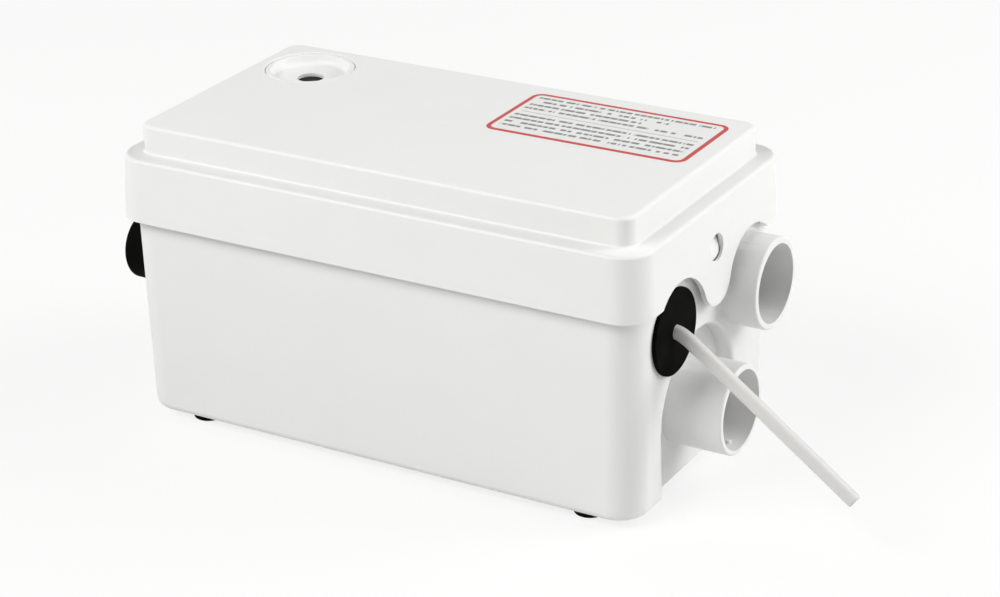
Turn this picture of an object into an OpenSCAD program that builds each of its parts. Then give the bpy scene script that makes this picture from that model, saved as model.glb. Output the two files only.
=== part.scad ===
// Shower sump pump: a floor-standing tank with a clip-on lid, two inlet sockets,
// a capped outlet, and the pump, valves, level switch and electrics inside.
// +X points to the socket end, +Z is up, and the feet stand on z = 0.

/* [Tank] */
// Length of the tank at its underside
tank_len = 290.4; // [286:0.1:296]
// Width of the tank at its underside
tank_wid = 153; // [150:0.1:158]
// Height of the tank from underside to rim
tank_h = 137.9; // [136:0.1:150]
// Lean of the walls that lets the tank leave its mould, in degrees
draft = 0.7; // [0.3:0.1:1]
// Thickness of the tank walls and floor
wall = 3; // [2.4:0.1:3.4]
// Radius of the tank's upright corners
tank_corner_r = 16; // [14:0.5:18]
// Radius round the tank's bottom edge
tank_foot_round = 5; // [3.5:0.5:6]
// Depth of the arched recess in the socket end
recess_depth = 8.4; // [6:0.1:9]
// Radius of the arch of the recess
recess_r = 39; // [36:0.5:40]

/* [Lid] */
// Length of the lid at its ledge
lid_len = 300; // [299:0.1:306]
// Width of the lid at its ledge
lid_wid = 162.7; // [162:0.1:168]
// Depth of the skirt below the ledge
skirt_drop = 33.6; // [30:0.1:38]
// How far the skirt flares outwards on each side at its lower edge
skirt_flare = 1.5; // [1:0.1:2]
// Radius of the lid's upright corners
lid_corner_r = 16.5; // [14:0.5:19]
// Thickness of the lid
lid_wall = 2.5; // [2:0.1:2.8]
// Rounding of the ledge's outer edge
ledge_round = 1.9; // [1:0.1:2.4]
// Length of the raised top
top_len = 280.7; // [276:0.1:284]
// Width of the raised top
top_wid = 142.7; // [138:0.1:146]
// Height of the raised top above the ledge
top_rise = 15.2; // [14:0.1:20]
// Radius of the raised top's upright corners
top_corner_r = 8; // [6:0.5:12]
// Rounding of the raised top's upper edge
top_round = 2.2; // [1:0.1:2.4]
// Small rounding where the raised top stands on the ledge
top_foot_round = 1.4; // [0.8:0.1:2]
// Distance from the middle to the centre of each end scallop
scallop_y = 39; // [37:0.5:42]
// Height of the scallop centres above the ground
scallop_z = 94; // [92:0.5:97]
// Radius of the scallops
scallop_r = 27; // [25.5:0.5:28]
// Height of the snap hole above the ground
snap_z = 123.7; // [122:0.1:126]
// Radius of the snap hole
snap_hole_r = 7; // [6:0.1:7.5]
// Thickness of the rubber gasket between tank and lid
gasket_t = 2.5; // [2:0.1:3.5]

/* [Vent] */
// Distance of the vent's middle from the lid's outlet end
vent_in_x = 40.3; // [39:0.1:46]
// Distance of the vent's middle from the lid's back edge
vent_in_y = 40.15; // [38:0.05:45]
// Outer radius of the vent cup
vent_r = 23.9; // [22:0.1:24.5]
// Width of the vent cup's rim
vent_rim = 2.9; // [2.4:0.1:3.6]
// Depth of the dish in the vent cup
vent_depth = 5.6; // [4:0.1:9]
// Radius of the hole in the vent cup
vent_hole_r = 7.1; // [5:0.1:8]
// Thickness of the charcoal filter disc
filter_t = 5; // [3:0.1:6]

/* [Sockets] */
// Inside radius of both pipe sockets
socket_bore_r = 20.5; // [19:0.1:21]
// Depth to which a pipe goes into a socket
pipe_depth = 24; // [22:0.5:25]
// Radius of the waterway behind the pipe stop
waterway_r = 18.5; // [16:0.1:18.5]
// Outer radius of the upper socket
upper_r = 23.8; // [23:0.1:24.5]
// Distance of the upper socket from the middle towards the back
upper_y = 39; // [37:0.5:41]
// Height of the upper socket's axis above the ground
upper_z = 92; // [90:0.5:95]
// How far the upper socket stands out of the end wall
upper_reach = 18.7; // [16:0.1:22]
// Outer radius of the lower socket
lower_r = 23.2; // [22.8:0.1:24]
// Distance of the lower socket from the middle towards the front
lower_y = 8; // [6:0.5:10]
// Height of the lower socket's axis above the ground
lower_z = 43.6; // [42:0.1:45]
// How far the lower socket stands out of the end wall
lower_reach = 23.3; // [22:0.1:26]
// Rounding of the sockets' outer rim
rim_round = 1.2; // [0.6:0.1:1.4]

/* [Outlet] */
// Distance of the outlet from the middle towards the front
outlet_y = 36; // [34:0.5:38]
// Height of the outlet's axis above the ground
outlet_z = 78; // [76:0.5:80]
// Outer radius of the outlet spigot
spigot_r = 16; // [15:0.1:16.5]
// Inside radius of the outlet spigot
spigot_bore_r = 13; // [12.5:0.1:13.2]
// How far the outlet spigot stands out of the end wall
spigot_reach = 20.5; // [18:0.1:24]
// Wall of the rubber blanking cap
cap_wall = 2.1; // [1.6:0.1:3]
// Thickness of the blanking cap's end
cap_end = 2.4; // [1.8:0.1:3.5]
// Length of the blanking cap
cap_len = 20; // [16:0.5:20]

/* [Cord] */
// Radius of the mains cord
cord_r = 3.6; // [3.2:0.1:3.8]
// Radius of the cord grommet's outer disc
grommet_r = 22; // [20.5:0.1:23]
// Distance of the cord from the middle towards the front
cord_y = 38.5; // [37:0.5:41]
// Height of the cord's entry above the ground
cord_z = 93.9; // [92:0.1:96]
// How far the grommet's disc stands out of its seat
grommet_proud = 2; // [1:0.1:3]
// Gap between the electrics box and the grommet's inner end
gland_gap = 5.5; // [4:0.5:10]

/* [Feet] */
// Height of the feet that shows below the tank
foot_h = 4; // [3:0.1:6]
// Radius of the feet
foot_r = 8.5; // [7:0.1:10]
// Distance of the feet from the middle along the tank
foot_x = 114; // [100:1:118]
// Distance of the feet from the middle across the tank
foot_y = 62.5; // [54:0.5:63]
// Depth of the pockets that hold the feet
foot_pocket = 1; // [0.6:0.1:1.4]

/* [Pump] */
// Distance of the pump's axis from the middle towards the outlet end
pump_x = 42; // [38:0.5:43]
// Height of the rubber mounts under the pump
mount_h = 6; // [5:0.1:9]
// Radius of the rubber mounts
mount_r = 6; // [4.5:0.1:7]
// Radius of the pump chamber
chamber_r = 40; // [38:0.5:42]
// Height of the volute casing
volute_h = 24; // [23:0.1:28]
// Wall of the volute casing
volute_wall = 4; // [3:0.1:4.5]
// Thickness of the suction plate
suction_t = 3; // [2.5:0.1:4]
// Radius of the suction eye
eye_r = 14; // [11:0.5:16]
// Inside radius of the pump's outlet pipe
pipe_bore_r = 9.5; // [8:0.1:10]
// Distance from the pump's axis to the end of its outlet pipe
pipe_reach = 52; // [50:0.5:53]
// Radius of the impeller
impeller_r = 32; // [28:0.5:35]
// Thickness of the impeller's disc
impeller_disc_t = 2.5; // [2:0.1:3]
// Depth of the impeller's vanes
vane_h = 11; // [9:0.1:12]
// Thickness of the impeller's vanes
vane_t = 2; // [1.6:0.1:3]
// Number of impeller vanes
vane_count = 5; // [4:1:7]
// Height of the strainer ring under the suction plate
strainer_h = 5; // [3.5:0.1:5]
// Radius of the strainer ring
strainer_r = 28; // [24:0.5:29]

/* [Motor] */
// Radius of the motor shaft
shaft_r = 4; // [3.5:0.1:4.5]
// Thickness of the pump's backplate
backplate_t = 5; // [4:0.1:6]
// Wall of the motor housing
housing_wall = 3; // [2:0.1:3.5]
// Height of the motor housing
housing_h = 82; // [80:0.5:84]
// How far the cooling ribs stand out of the housing
rib_out = 2; // [1:0.1:3]
// Number of cooling ribs
rib_count = 24; // [12:4:32]
// Thickness of the motor's top cover
motor_cover_t = 7; // [6:0.1:8]
// Height of the stator core
stator_h = 46; // [40:0.5:48]
// Inside radius of the stator core
stator_bore_r = 25; // [23:0.5:26]
// Gap between rotor and stator
air_gap = 0.5; // [0.4:0.05:0.8]
// Height of the winding beyond each end of the core
winding_h = 9; // [6:0.1:10]
// Outer radius of both bearings
bearing_r = 11; // [10:0.1:12]
// Width of both bearings
bearing_w = 7; // [6:0.1:8]
// Outer radius of the shaft seal
seal_r = 9; // [8:0.1:10]

/* [Non return valve] */
// Radius of the bend in the outlet hose
hose_bend_r = 22; // [21:0.5:24]
// Wall of the outlet hose
hose_wall = 3; // [2:0.1:3.5]
// Inside radius of the valve's chamber
valve_bore_r = 17.5; // [17:0.1:18.5]
// Wall of the valve's chamber
valve_wall = 2.5; // [2:0.1:2.8]
// Height of the valve's chamber
valve_h = 38; // [36:0.5:42]
// Thickness of the valve's cap
valve_cap_t = 3; // [2:0.1:4]
// Radius of the flap
flap_r = 13.5; // [13:0.1:13.8]
// Thickness of both flaps
flap_t = 2; // [1.5:0.1:2.4]
// Radius of the flap's pin
flap_pin_r = 1; // [0.8:0.1:1.3]
// Radius of the inlet flap
inlet_flap_r = 20; // [19.8:0.1:20.4]
// Radius of the inlet flap's pin
inlet_pin_r = 1.2; // [1:0.1:1.4]

/* [Level switch] */
// Distance of the level switch from the middle towards the sockets
switch_x = 66; // [62:0.5:70]
// Distance of the level switch from the middle towards the back
switch_y = 38; // [36:0.5:42]
// Outer radius of the air chamber
air_r = 16; // [12:0.5:18]
// Wall of the air chamber and the switch's shells
shell_wall = 2.5; // [2:0.1:3]
// Gap between the air chamber's mouth and the tank's floor
air_mouth_gap = 4; // [3:0.5:8]
// Outer radius of the switch's shells
switch_r = 26; // [24:0.5:27]
// Height of the switch's base shell
switch_base_h = 8; // [7:0.1:10]
// Thickness of the rubber diaphragm
diaphragm_t = 1; // [0.8:0.1:1.5]
// Height of the switch's upper shell
switch_cover_h = 16; // [15:0.1:18]
// Radius of the plunger's stem
plunger_r = 4; // [3.5:0.1:4.5]
// Length of the plunger's tip above the upper shell
plunger_tip = 4; // [3.5:0.1:5]
// Travel of the plunger
plunger_travel = 2.5; // [1:0.1:2.5]
// Length of the microswitch
micro_len = 27; // [26:0.5:30]
// Width of the microswitch
micro_wid = 10.4; // [9:0.1:12]
// Height of the microswitch
micro_h = 11; // [9:0.1:11.5]
// Distance from the lever's pin to the plunger
lever_arm = 20; // [19:0.5:22]

/* [Electrics] */
// Height of the mounting deck's top above the ground
deck_z = 82; // [80:0.5:83]
// Thickness of the mounting deck
deck_t = 3; // [2.5:0.1:4]
// Length of the mounting deck
deck_len = 104; // [102:1:106]
// Width of the mounting deck
deck_wid = 145; // [138:1:146]
// Radius of the posts that carry the deck
post_r = 5; // [4.5:0.1:6]
// Length of the electrics box
box_len = 88; // [84:1:90]
// Width of the electrics box
box_wid = 52; // [50:1:53]
// Height of the electrics box
box_h = 42; // [40:1:43]
// Wall of the electrics box
box_wall = 2.5; // [2:0.1:3]
// Radius of the run capacitor
cap_can_r = 14; // [12:0.5:15]
// Length of the run capacitor
cap_can_len = 54; // [44:1:56]
// Length of the terminal block
block_len = 34; // [28:1:40]
// Width of the terminal block
block_wid = 12; // [10:0.5:13]
// Height of the terminal block
block_h = 14; // [12:0.5:16]
// Radius of the inner leads
lead_r = 2.6; // [2:0.1:3]

/* [Screws] */
// Radius of the screws' shanks
screw_r = 1.5; // [1.2:0.1:1.7]
// Radius of the screws' heads
head_r = 3; // [2.6:0.1:3.4]
// Height of the screws' heads
head_h = 2; // [1.4:0.1:2.4]
// Radius of the pump's through bolts
bolt_r = 2; // [1.6:0.1:2.2]
// Radius of the lugs that the pump's bolts pass through
lug_r = 5; // [4.4:0.1:5.5]

/* [Clearances] */
// Radial clearance of a shaft, pin or plunger that moves in a bore
run_clear = 0.06; // [0.02:0.01:0.1]
// Gap between pieces that are pushed together and stay put
seat_clear = 0.1; // [0.05:0.01:0.2]
// Gap between curved or moving faces that don't guide each other
free_gap = 0.3; // [0.2:0.05:0.6]

/* [Hidden] */

// Overrun of every cut past the face that it opens
over = 1;
// Wall of small screw lugs past the screw's head
lug_wall = 1;
// Segments of a quarter turn on the lofted corners
corner_steps = 8;
$fn = 64;

// Heights of the casing
tank_z = foot_h;
floor_z = tank_z + wall;
rim_z = tank_z + tank_h;
vent_x = lid_len / 2 - vent_in_x;
vent_y = lid_wid / 2 - vent_in_y;
lid_under_z = rim_z + gasket_t;
ledge_z = lid_under_z + lid_wall;
skirt_z = ledge_z - skirt_drop;
top_z = ledge_z + top_rise;

// Half length and half width of the tank's outside at a height
function half_x(z) = tank_len / 2 + (z - tank_z) * tan(draft);
function half_y(z) = tank_wid / 2 + (z - tank_z) * tan(draft);
// Outward step of the lid's skirt at a height
function flare(z) = skirt_flare * (ledge_z - z) / skirt_drop;

// End wall planes
recess_drop = 0.6;
recess_z = lower_z - recess_drop;
recess_x = half_x(lower_z) - recess_depth;
recess_in_x = recess_x - wall;
upper_tip_x = half_x(upper_z) + upper_reach;
lower_tip_x = half_x(lower_z) + lower_reach;
spigot_wall_x = half_x(outlet_z);
spigot_tip_x = spigot_wall_x + spigot_reach;
// Length of the pipe stop behind the upper socket
stop_lip = 2;

// Tip of the tongue: a round end that runs smoothly into both scallops
tongue_r = (scallop_y * scallop_y - scallop_r * scallop_r) / (2 * scallop_r);
tongue_z = scallop_z + tongue_r;
tongue_join_z = scallop_z + tongue_r * scallop_r / (tongue_r + scallop_r);
snap_nub_r = snap_hole_r - 2 * free_gap;
// Slope of the nub's face, in degrees
snap_slope = 12;
// How far the nub's tip stays inside the lid's outer face
snap_cover = 1.4;
snap_tip_x = lid_len / 2 + flare(snap_z) - snap_cover;

// Vent pocket in the lid
vent_pocket_r = vent_r + free_gap;
vent_cup_h = vent_depth + lid_wall;
filter_r = vent_r - vent_rim + free_gap;
vent_floor_r = filter_r / 2;

// Grommet
grommet_seat_x = half_x(cord_z + grommet_r);
// Barb that holds the grommet behind the wall, and how far its disc covers its seat
grommet_barb = 1.2;
grommet_lip = 1;
arch_gap = norm([cord_y - lower_y, cord_z - recess_z]) - recess_r;
grommet_neck_r = min(grommet_r - 2 * wall, arch_gap - wall - grommet_barb - 2 * seat_clear);
grommet_face_x = grommet_seat_x + grommet_proud;
grommet_in_x = grommet_seat_x - wall - wall;

// Pump and motor stack, from the floor upwards
// How far the pump's outlet bore lies inside the chamber's side
bore_in = 0.4;
pump_y = outlet_y - chamber_r + pipe_bore_r + bore_in;
suction_z = floor_z + mount_h;
volute_z = suction_z + suction_t;
backplate_z = volute_z + volute_h;
housing_z = backplate_z + backplate_t;
motor_cover_z = housing_z + housing_h;
pipe_z = volute_z + volute_h / 2;
pipe_step = 0.5;
pipe_r = volute_h / 2 - pipe_step;
volute_r = chamber_r + volute_wall;
// Outer radius of the motor housing without its ribs
housing_r = volute_r;
seal_hole_r = seal_r + volute_wall;
vane_gap = 2;
vane_z = volute_z + vane_gap;
impeller_z = vane_z + vane_h;
hub_r = shaft_r + volute_wall;
nut_h = 3;
shaft_z = vane_z;
shaft_top_z = motor_cover_z - free_gap;
bearing_seat_r = bearing_r + housing_wall;
lower_bearing_z = housing_z;
upper_bearing_z = motor_cover_z - bearing_w;
stator_z = housing_z + (housing_h - stator_h) / 2;
stator_r = housing_r - housing_wall - seat_clear;
rotor_r = stator_bore_r - air_gap;
winding_in_r = stator_bore_r + 2 * free_gap + vane_t;
winding_out_r = stator_r - housing_wall;
seal_seat_h = backplate_t - vane_gap;
seal_ring_z = impeller_z + impeller_disc_t + free_gap;
seal_face_z = backplate_z - vane_gap / 4;
bolt_angles = [0, 60, 120, 180, 300];
mount_angles = [30, 150, 270];
bolt_ring_r = volute_r + bolt_r + 2 * free_gap;
lug_h = 12;
cover_screw_angles = [30, 150, 210, 330];
cover_screw_r = housing_r + screw_r + 2 * free_gap;

// Outlet hose and non-return valve
hose_in_r = pipe_r + seat_clear;
hose_r = hose_in_r + hose_wall;
hose_grip = 10;
hose_up_grip = 8;
pipe_end_x = -pump_x - pipe_reach;
hose_lead = 2.3;
riser_x = pipe_end_x - hose_lead - hose_bend_r;
riser_y = -outlet_y;
bend_top_z = pipe_z + hose_bend_r;
hose_up = 9;
valve_foot_z = bend_top_z + hose_up - hose_up_grip;
valve_z = bend_top_z + hose_up + 4 * free_gap;
seat_h = 2;
seat_z = valve_z + valve_wall + seat_h;
// How far the flap reaches past its seat
flap_over = 0.5;
seat_r = flap_r - flap_over;
valve_r = valve_bore_r + valve_wall;
valve_top_z = valve_z + valve_h;
valve_cap_over = 1;
valve_cap_in = 1.5;
// Inner end of the outlet's sleeve
spigot_in_x = valve_r - riser_x + free_gap;
// Wall of the knuckles round the flaps' pins
knuckle_wall = 1.3;
flap_pin_up = 0.7;
flap_pin_z = seat_z + seat_clear + flap_t + flap_pin_up;
flap_knuckle_r = flap_pin_r + knuckle_wall;
flap_knuckle_w = 11;
flap_pin_x = riser_x - flap_knuckle_r - free_gap
    + sqrt(valve_bore_r * valve_bore_r - flap_knuckle_w * flap_knuckle_w / 4);
flap_pin_half = sqrt(valve_bore_r * valve_bore_r - pow(flap_pin_x - riser_x, 2)) + valve_wall;
side_bore_r = spigot_bore_r - valve_wall;
side_r = spigot_bore_r - seat_clear;

// Lower inlet's flap
inlet_seat_h = 3;
inlet_flap_x = recess_in_x - inlet_seat_h - seat_clear - flap_t;
inlet_knuckle_r = inlet_pin_r + knuckle_wall;
inlet_knuckle_w = 20;
inlet_pin_up = 3.4;
inlet_pin_z = lower_z + socket_bore_r + inlet_pin_up;
inlet_pin_x = recess_in_x - inlet_knuckle_r - free_gap;
ear_w = 3;
ear_h = 7;

// Deck and posts
deck_motor_gap = 8;
deck_x = -pump_x + housing_r + rib_out + deck_motor_gap;
deck_under_z = deck_z - deck_t;
post_in = 8;
post_x0 = deck_x + post_in;
post_x1 = deck_x + deck_len - post_in;
post_y = deck_wid / 2 - post_in;
deck_screw_grip = 9;
deck_screw_len = deck_t + deck_screw_grip;

// Electrics box on the deck
box_in_x = 12;
box_in_y = 1;
box_x = deck_x + box_in_x;
box_y = -post_y + head_r + box_in_y;
box_top_z = deck_z + box_h;
box_cover_t = 3;
box_screw_grip = 8;
box_post_in = box_wall + screw_r;
box_post_r = screw_r + box_wall / 2;
clip_t = 1;
clip_w = 10;
can_gap = 1;
can_x = box_x + box_wall + 2 * box_post_r;
can_y = box_y + box_wall + can_gap + clip_t + cap_can_r;
can_z = deck_z + box_wall + clip_t + can_gap + cap_can_r;
can_tip = 3;
block_in_x = 10;
block_x = box_x + box_len - box_wall - block_len - block_in_x;
block_y = box_y + box_wid - box_wall - block_wid - can_gap;
block_z = deck_z + box_wall;
block_cells = 3;
lead_in = 6;
inner_lead_end_x = box_x + box_len - box_wall - lead_in;
grommet_end_x = box_x + box_len + gland_gap;
lead_z = box_top_z - 3 * lead_r;
motor_lead_y = box_y + box_wid - box_wall - 4 * lead_r;
lead_arc_share = 0.4;

// Level switch stack, from the floor upwards
air_z = floor_z + air_mouth_gap;
air_flange_out = 3;
air_flange_r = air_r + air_flange_out;
air_flange_t = 2.5;
neck_r = 4;
neck_bore_r = 2;
neck_over = 1.5;
switch_base_z = deck_z;
neck_top_z = switch_base_z + shell_wall + neck_over;
diaphragm_z = switch_base_z + switch_base_h;
diaphragm_r = switch_r - shell_wall;
pad_r = 10;
pad_h = 1.5;
switch_cover_z = diaphragm_z + diaphragm_t;
switch_cover_top_z = switch_cover_z + switch_cover_h;
plunger_z = diaphragm_z + diaphragm_t + pad_h;
plunger_flange_r = 9;
plunger_flange_t = 1.7;
spring_z = plunger_z + plunger_flange_t;
spring_top_z = switch_cover_top_z - shell_wall;
spring_gap = 1;
spring_wire = 2;
spring_in_r = plunger_r + spring_gap;
spring_r = spring_in_r + spring_wire;
plunger_top_z = switch_cover_top_z + plunger_tip;
tip_r = 1.5;
tip_h = 2;
lever_z = plunger_top_z + free_gap;
lever_t = 1;
lever_w = 5;
lever_pin_x = switch_x - lever_arm;
lever_pin_r = 1;
lever_knuckle_r = 2.1;
lever_over = 3;
lever_end_x = switch_x + lever_over;
button_x = switch_x - lever_arm / 2;
button_r = 1.5;
button_z = lever_z + lever_t + free_gap;
button_show = 3.6;
button_in = 2.6;
micro_z = button_z + button_show;
button_top_z = micro_z + button_in;
micro_back = 4;
micro_x = switch_x - lever_arm - micro_back;
micro_top_z = micro_z + micro_h;
cheek_t = 2;
cheek_y = micro_wid / 2 + seat_clear;
cheek_x0 = micro_x;
cheek_x1 = micro_x + micro_len;
switch_lead_x = cheek_x1 + seat_clear + 6 * lead_r;
switch_lug_angles = [60, 180, 300];
switch_lug_r = switch_r + head_r + free_gap;
switch_lug_h = 6;

// Route of the free cord, from the grommet's face to its cut end
cord_route = [
    [148.6, -38.5, 93.9], [151.6, -38.7, 93.1], [155, -39, 91.4], [159, -39.4, 88.9],
    [164, -39.8, 85.6], [170, -40.3, 81.6], [176, -40.9, 77.6], [184, -41.6, 72.3],
    [192, -42.3, 67], [200, -43, 61.6], [208, -43.7, 56.2], [216, -44.4, 50.9],
    [224, -45.1, 45.6], [232, -45.8, 40.2], [240, -46.5, 34.8], [246.4, -47, 30.5]
];
cord_sides = 12;
lead_sides = 8;

// Shared shapes

// Points of a rounded rectangle at one height, anticlockwise
function loft_ring(hx, hy, r, z) = [
    for (corner = [[1, 1, 0], [-1, 1, 90], [-1, -1, 180], [1, -1, 270]], k = [0 : corner_steps])
        let (a = corner[2] + 90 * k / corner_steps)
        [corner[0] * (hx - r) + r * cos(a), corner[1] * (hy - r) + r * sin(a), z]
];

// Closed solid through a list of rings with equal point counts
module loft(rings) {
    n = len(rings[0]);
    points = [for (ring = rings, p = ring) p];
    sides = [
        for (i = [0 : len(rings) - 2], j = [0 : n - 1])
            [i * n + j, (i + 1) * n + j, (i + 1) * n + (j + 1) % n, i * n + (j + 1) % n]
    ];
    bottom = [for (j = [0 : n - 1]) j];
    top = [for (j = [n - 1 : -1 : 0]) (len(rings) - 1) * n + j];
    polyhedron(points = points, faces = concat([bottom], sides, [top]));
}

// Rings of a shape that leans outwards by a slope and is rounded at its lower edge
function tray_rings(hx, hy, r, z0, z1, round, lean) = concat(
    [for (k = [0 : 3]) let (a = 30 * k, step = round * (1 - sin(a)), dz = round * (1 - cos(a)))
        loft_ring(hx + dz * tan(lean) - step, hy + dz * tan(lean) - step, r - step, z0 + dz)],
    [loft_ring(hx + (z1 - z0) * tan(lean), hy + (z1 - z0) * tan(lean), r, z1)]
);

// Rings that round the upper edge of a shape with upright walls
function cap_rings(hx, hy, r, z, round) = [
    for (k = [0 : 3]) let (a = 30 * k, step = round * (1 - cos(a)), dz = round * (1 - sin(a)))
        loft_ring(hx - step, hy - step, r - step, z - dz)
];

// Flat rounded rectangle
module rounded_flat(hx, hy, r) {
    square([2 * (hx - r), 2 * hy], center = true);
    square([2 * hx, 2 * (hy - r)], center = true);
    for (sx = [-1, 1], sy = [-1, 1])
        translate([sx * (hx - r), sy * (hy - r)]) circle(r);
}

// Cylinder along +X from x0 to x1
module rod_x(x0, x1, y, z, r) {
    translate([x0, y, z]) rotate([0, 90, 0]) cylinder(r = r, h = x1 - x0);
}

// Cylinder along +Y from y0 to y1
module rod_y(y0, y1, x, z, r) {
    translate([x, y0, z]) rotate([-90, 0, 0]) cylinder(r = r, h = y1 - y0);
}

// Ring round the Z axis
module ring(r_out, r_in, z0, z1) {
    translate([0, 0, z0]) difference() {
        cylinder(r = r_out, h = z1 - z0);
        translate([0, 0, -over]) cylinder(r = r_in, h = z1 - z0 + 2 * over);
    }
}

// Solid spigot along +X whose outer rim is rounded
module spigot_x(x0, x1, y, z, r, round) {
    translate([x0, y, z]) rotate([0, 90, 0]) rotate_extrude() {
        square([r, x1 - x0 - round]);
        square([r - round, x1 - x0]);
        translate([r - round, x1 - x0 - round]) circle(round);
    }
}

// Box from one corner to the opposite one
module block(a, b) {
    translate(a) cube(b - a);
}

// Smooth curve through a list of points
function curve_point(route, i, t) =
    let (
        last = len(route) - 1,
        a = route[max(i - 1, 0)], b = route[i],
        c = route[min(i + 1, last)], d = route[min(i + 2, last)]
    )
    (2 * b + (c - a) * t + (2 * a - 5 * b + 4 * c - d) * t * t
        + (3 * b - a - 3 * c + d) * t * t * t) / 2;
function curve(route, steps) = concat(
    [for (i = [0 : len(route) - 2], k = [0 : steps - 1]) curve_point(route, i, k / steps)],
    [route[len(route) - 1]]
);
function unit(v) = v / norm(v);
function heading(path, i) = unit(path[min(i + 1, len(path) - 1)] - path[max(i - 1, 0)]);

// Ring of points square to a heading, with its first point level with the ground
function tube_ring(centre, dir, r, sides) =
    let (side = unit(cross(dir, abs(dir[2]) > 0.9 ? [1, 0, 0] : [0, 0, 1])), up = cross(side, dir))
    [for (k = [0 : sides - 1]) let (a = 360 * k / sides) centre + r * (cos(a) * side + sin(a) * up)];

// Tube swept along a path; its ends are square to the given headings
module tube(path, r, sides, first, last) {
    n = len(path);
    loft([
        for (i = [0 : n - 1])
            tube_ring(path[i], i == 0 ? first : i == n - 1 ? last : heading(path, i), r, sides)
    ]);
}

// Screw that points down from its head's underside
module screw(x, y, z, length, r, hr, hh) {
    translate([x, y, z]) {
        translate([0, 0, -length]) cylinder(r = r, h = length);
        difference() {
            cylinder(r = hr, h = hh);
            for (turn = [0, 90]) rotate(turn)
                translate([-hr * 0.6, -hr / 8, hh / 2]) cube([hr * 1.2, hr / 4, hh]);
        }
    }
}

// Casing

// Arched recess of the socket end, out to beyond the wall
module recess_shape(r, x) {
    x_end = lower_tip_x + over;
    rod_x(x, x_end, -lower_y, recess_z, r);
    block([x, -lower_y - r, -over], [x_end, -lower_y + r, recess_z]);
}

module tank_cavity() {
    loft(concat(
        tray_rings(half_x(floor_z) - wall, half_y(floor_z) - wall, tank_corner_r - wall,
            floor_z, rim_z, tank_foot_round - wall / 2, draft),
        [loft_ring(half_x(rim_z + over) - wall, half_y(rim_z + over) - wall, tank_corner_r - wall,
            rim_z + over)]
    ));
}

module tank_solids() {
    difference() {
        loft(tray_rings(half_x(tank_z), half_y(tank_z), tank_corner_r, tank_z, rim_z, tank_foot_round,
            draft));
        difference() {
            tank_cavity();
            recess_shape(recess_r + wall, recess_in_x);
        }
        recess_shape(recess_r, recess_x);
    }
    spigot_x(upper_tip_x - pipe_depth - stop_lip, upper_tip_x, upper_y, upper_z, upper_r, rim_round);
    spigot_x(recess_in_x, lower_tip_x, -lower_y, lower_z, lower_r, rim_round);
    rod_x(recess_in_x - inlet_seat_h, recess_x, -lower_y, lower_z, socket_bore_r);
    mirror([1, 0, 0]) spigot_x(spigot_in_x, spigot_tip_x, -outlet_y, outlet_z, spigot_r, rim_round);
    rod_x(grommet_seat_x - wall, grommet_seat_x, -cord_y, cord_z, grommet_r - grommet_lip);
    for (x = [post_x0, post_x1], y = [-post_y, post_y])
        translate([x, y, tank_z + wall / 2]) cylinder(r = post_r, h = deck_under_z - tank_z - wall / 2);
    for (side = [-1, 1]) snap_nub(side);
    for (side = [-1, 1]) {
        y0 = -lower_y + side * (inlet_knuckle_w / 2 + free_gap + ear_w / 2);
        block([inlet_pin_x - inlet_knuckle_r, y0 - ear_w / 2, inlet_pin_z - ear_h / 2],
            [recess_x - wall / 2, y0 + ear_w / 2, inlet_pin_z + ear_h / 2]);
    }
}

// Sloped round nub on an end wall; side is 1 for the socket end
module snap_nub(side) {
    mirror([side > 0 ? 0 : 1, 0, 0]) difference() {
        rod_x(half_x(snap_z) - wall, snap_tip_x, 0, snap_z, snap_nub_r);
        translate([snap_tip_x, 0, snap_z - snap_nub_r / 2]) rotate([0, -snap_slope, 0])
            translate([0, -snap_hole_r, -snap_hole_r]) cube(snap_hole_r * 3);
    }
}

module tank() {
    color("#e9e9e5") difference() {
        tank_solids();
        rod_x(upper_tip_x - pipe_depth, upper_tip_x + over, upper_y, upper_z, socket_bore_r);
        rod_x(upper_tip_x - pipe_depth - stop_lip - over, upper_tip_x, upper_y, upper_z, waterway_r);
        rod_x(lower_tip_x - pipe_depth, lower_tip_x + over, -lower_y, lower_z, socket_bore_r);
        rod_x(recess_in_x - inlet_seat_h - over, lower_tip_x, -lower_y, lower_z, waterway_r);
        rod_x(-spigot_tip_x - over, -spigot_in_x + over, -outlet_y, outlet_z, spigot_bore_r);
        rod_x(grommet_in_x, grommet_face_x + over, -cord_y, cord_z, grommet_neck_r + seat_clear);
        rod_y(-lower_y - tank_wid / 4, -lower_y + tank_wid / 4, inlet_pin_x, inlet_pin_z, inlet_pin_r);
        for (x = [-foot_x, foot_x], y = [-foot_y, foot_y])
            translate([x, y, tank_z - over]) cylinder(r = foot_r + seat_clear, h = foot_pocket + over);
        for (x = [post_x0, post_x1], y = [-post_y, post_y])
            translate([x, y, deck_z - deck_screw_len - over])
                cylinder(r = screw_r + seat_clear, h = deck_screw_len + over);
    }
}

module feet() {
    color("#111111") for (x = [-foot_x, foot_x], y = [-foot_y, foot_y])
        translate([x, y, 0]) cylinder(r = foot_r, h = tank_z + foot_pocket);
}

module lid_gasket() {
    hx = half_x(rim_z);
    hy = half_y(rim_z);
    color("#2b2b2b") translate([0, 0, rim_z]) linear_extrude(gasket_t) difference() {
        rounded_flat(hx, hy, tank_corner_r);
        rounded_flat(hx - wall, hy - wall, tank_corner_r - wall);
    }
}

// Lid

// Outline of the end tongues, seen along X
module tongue_outline() {
    translate([-scallop_y, tongue_join_z]) square([2 * scallop_y, skirt_z - tongue_join_z + over]);
    translate([0, tongue_z]) circle(tongue_r);
}

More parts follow.
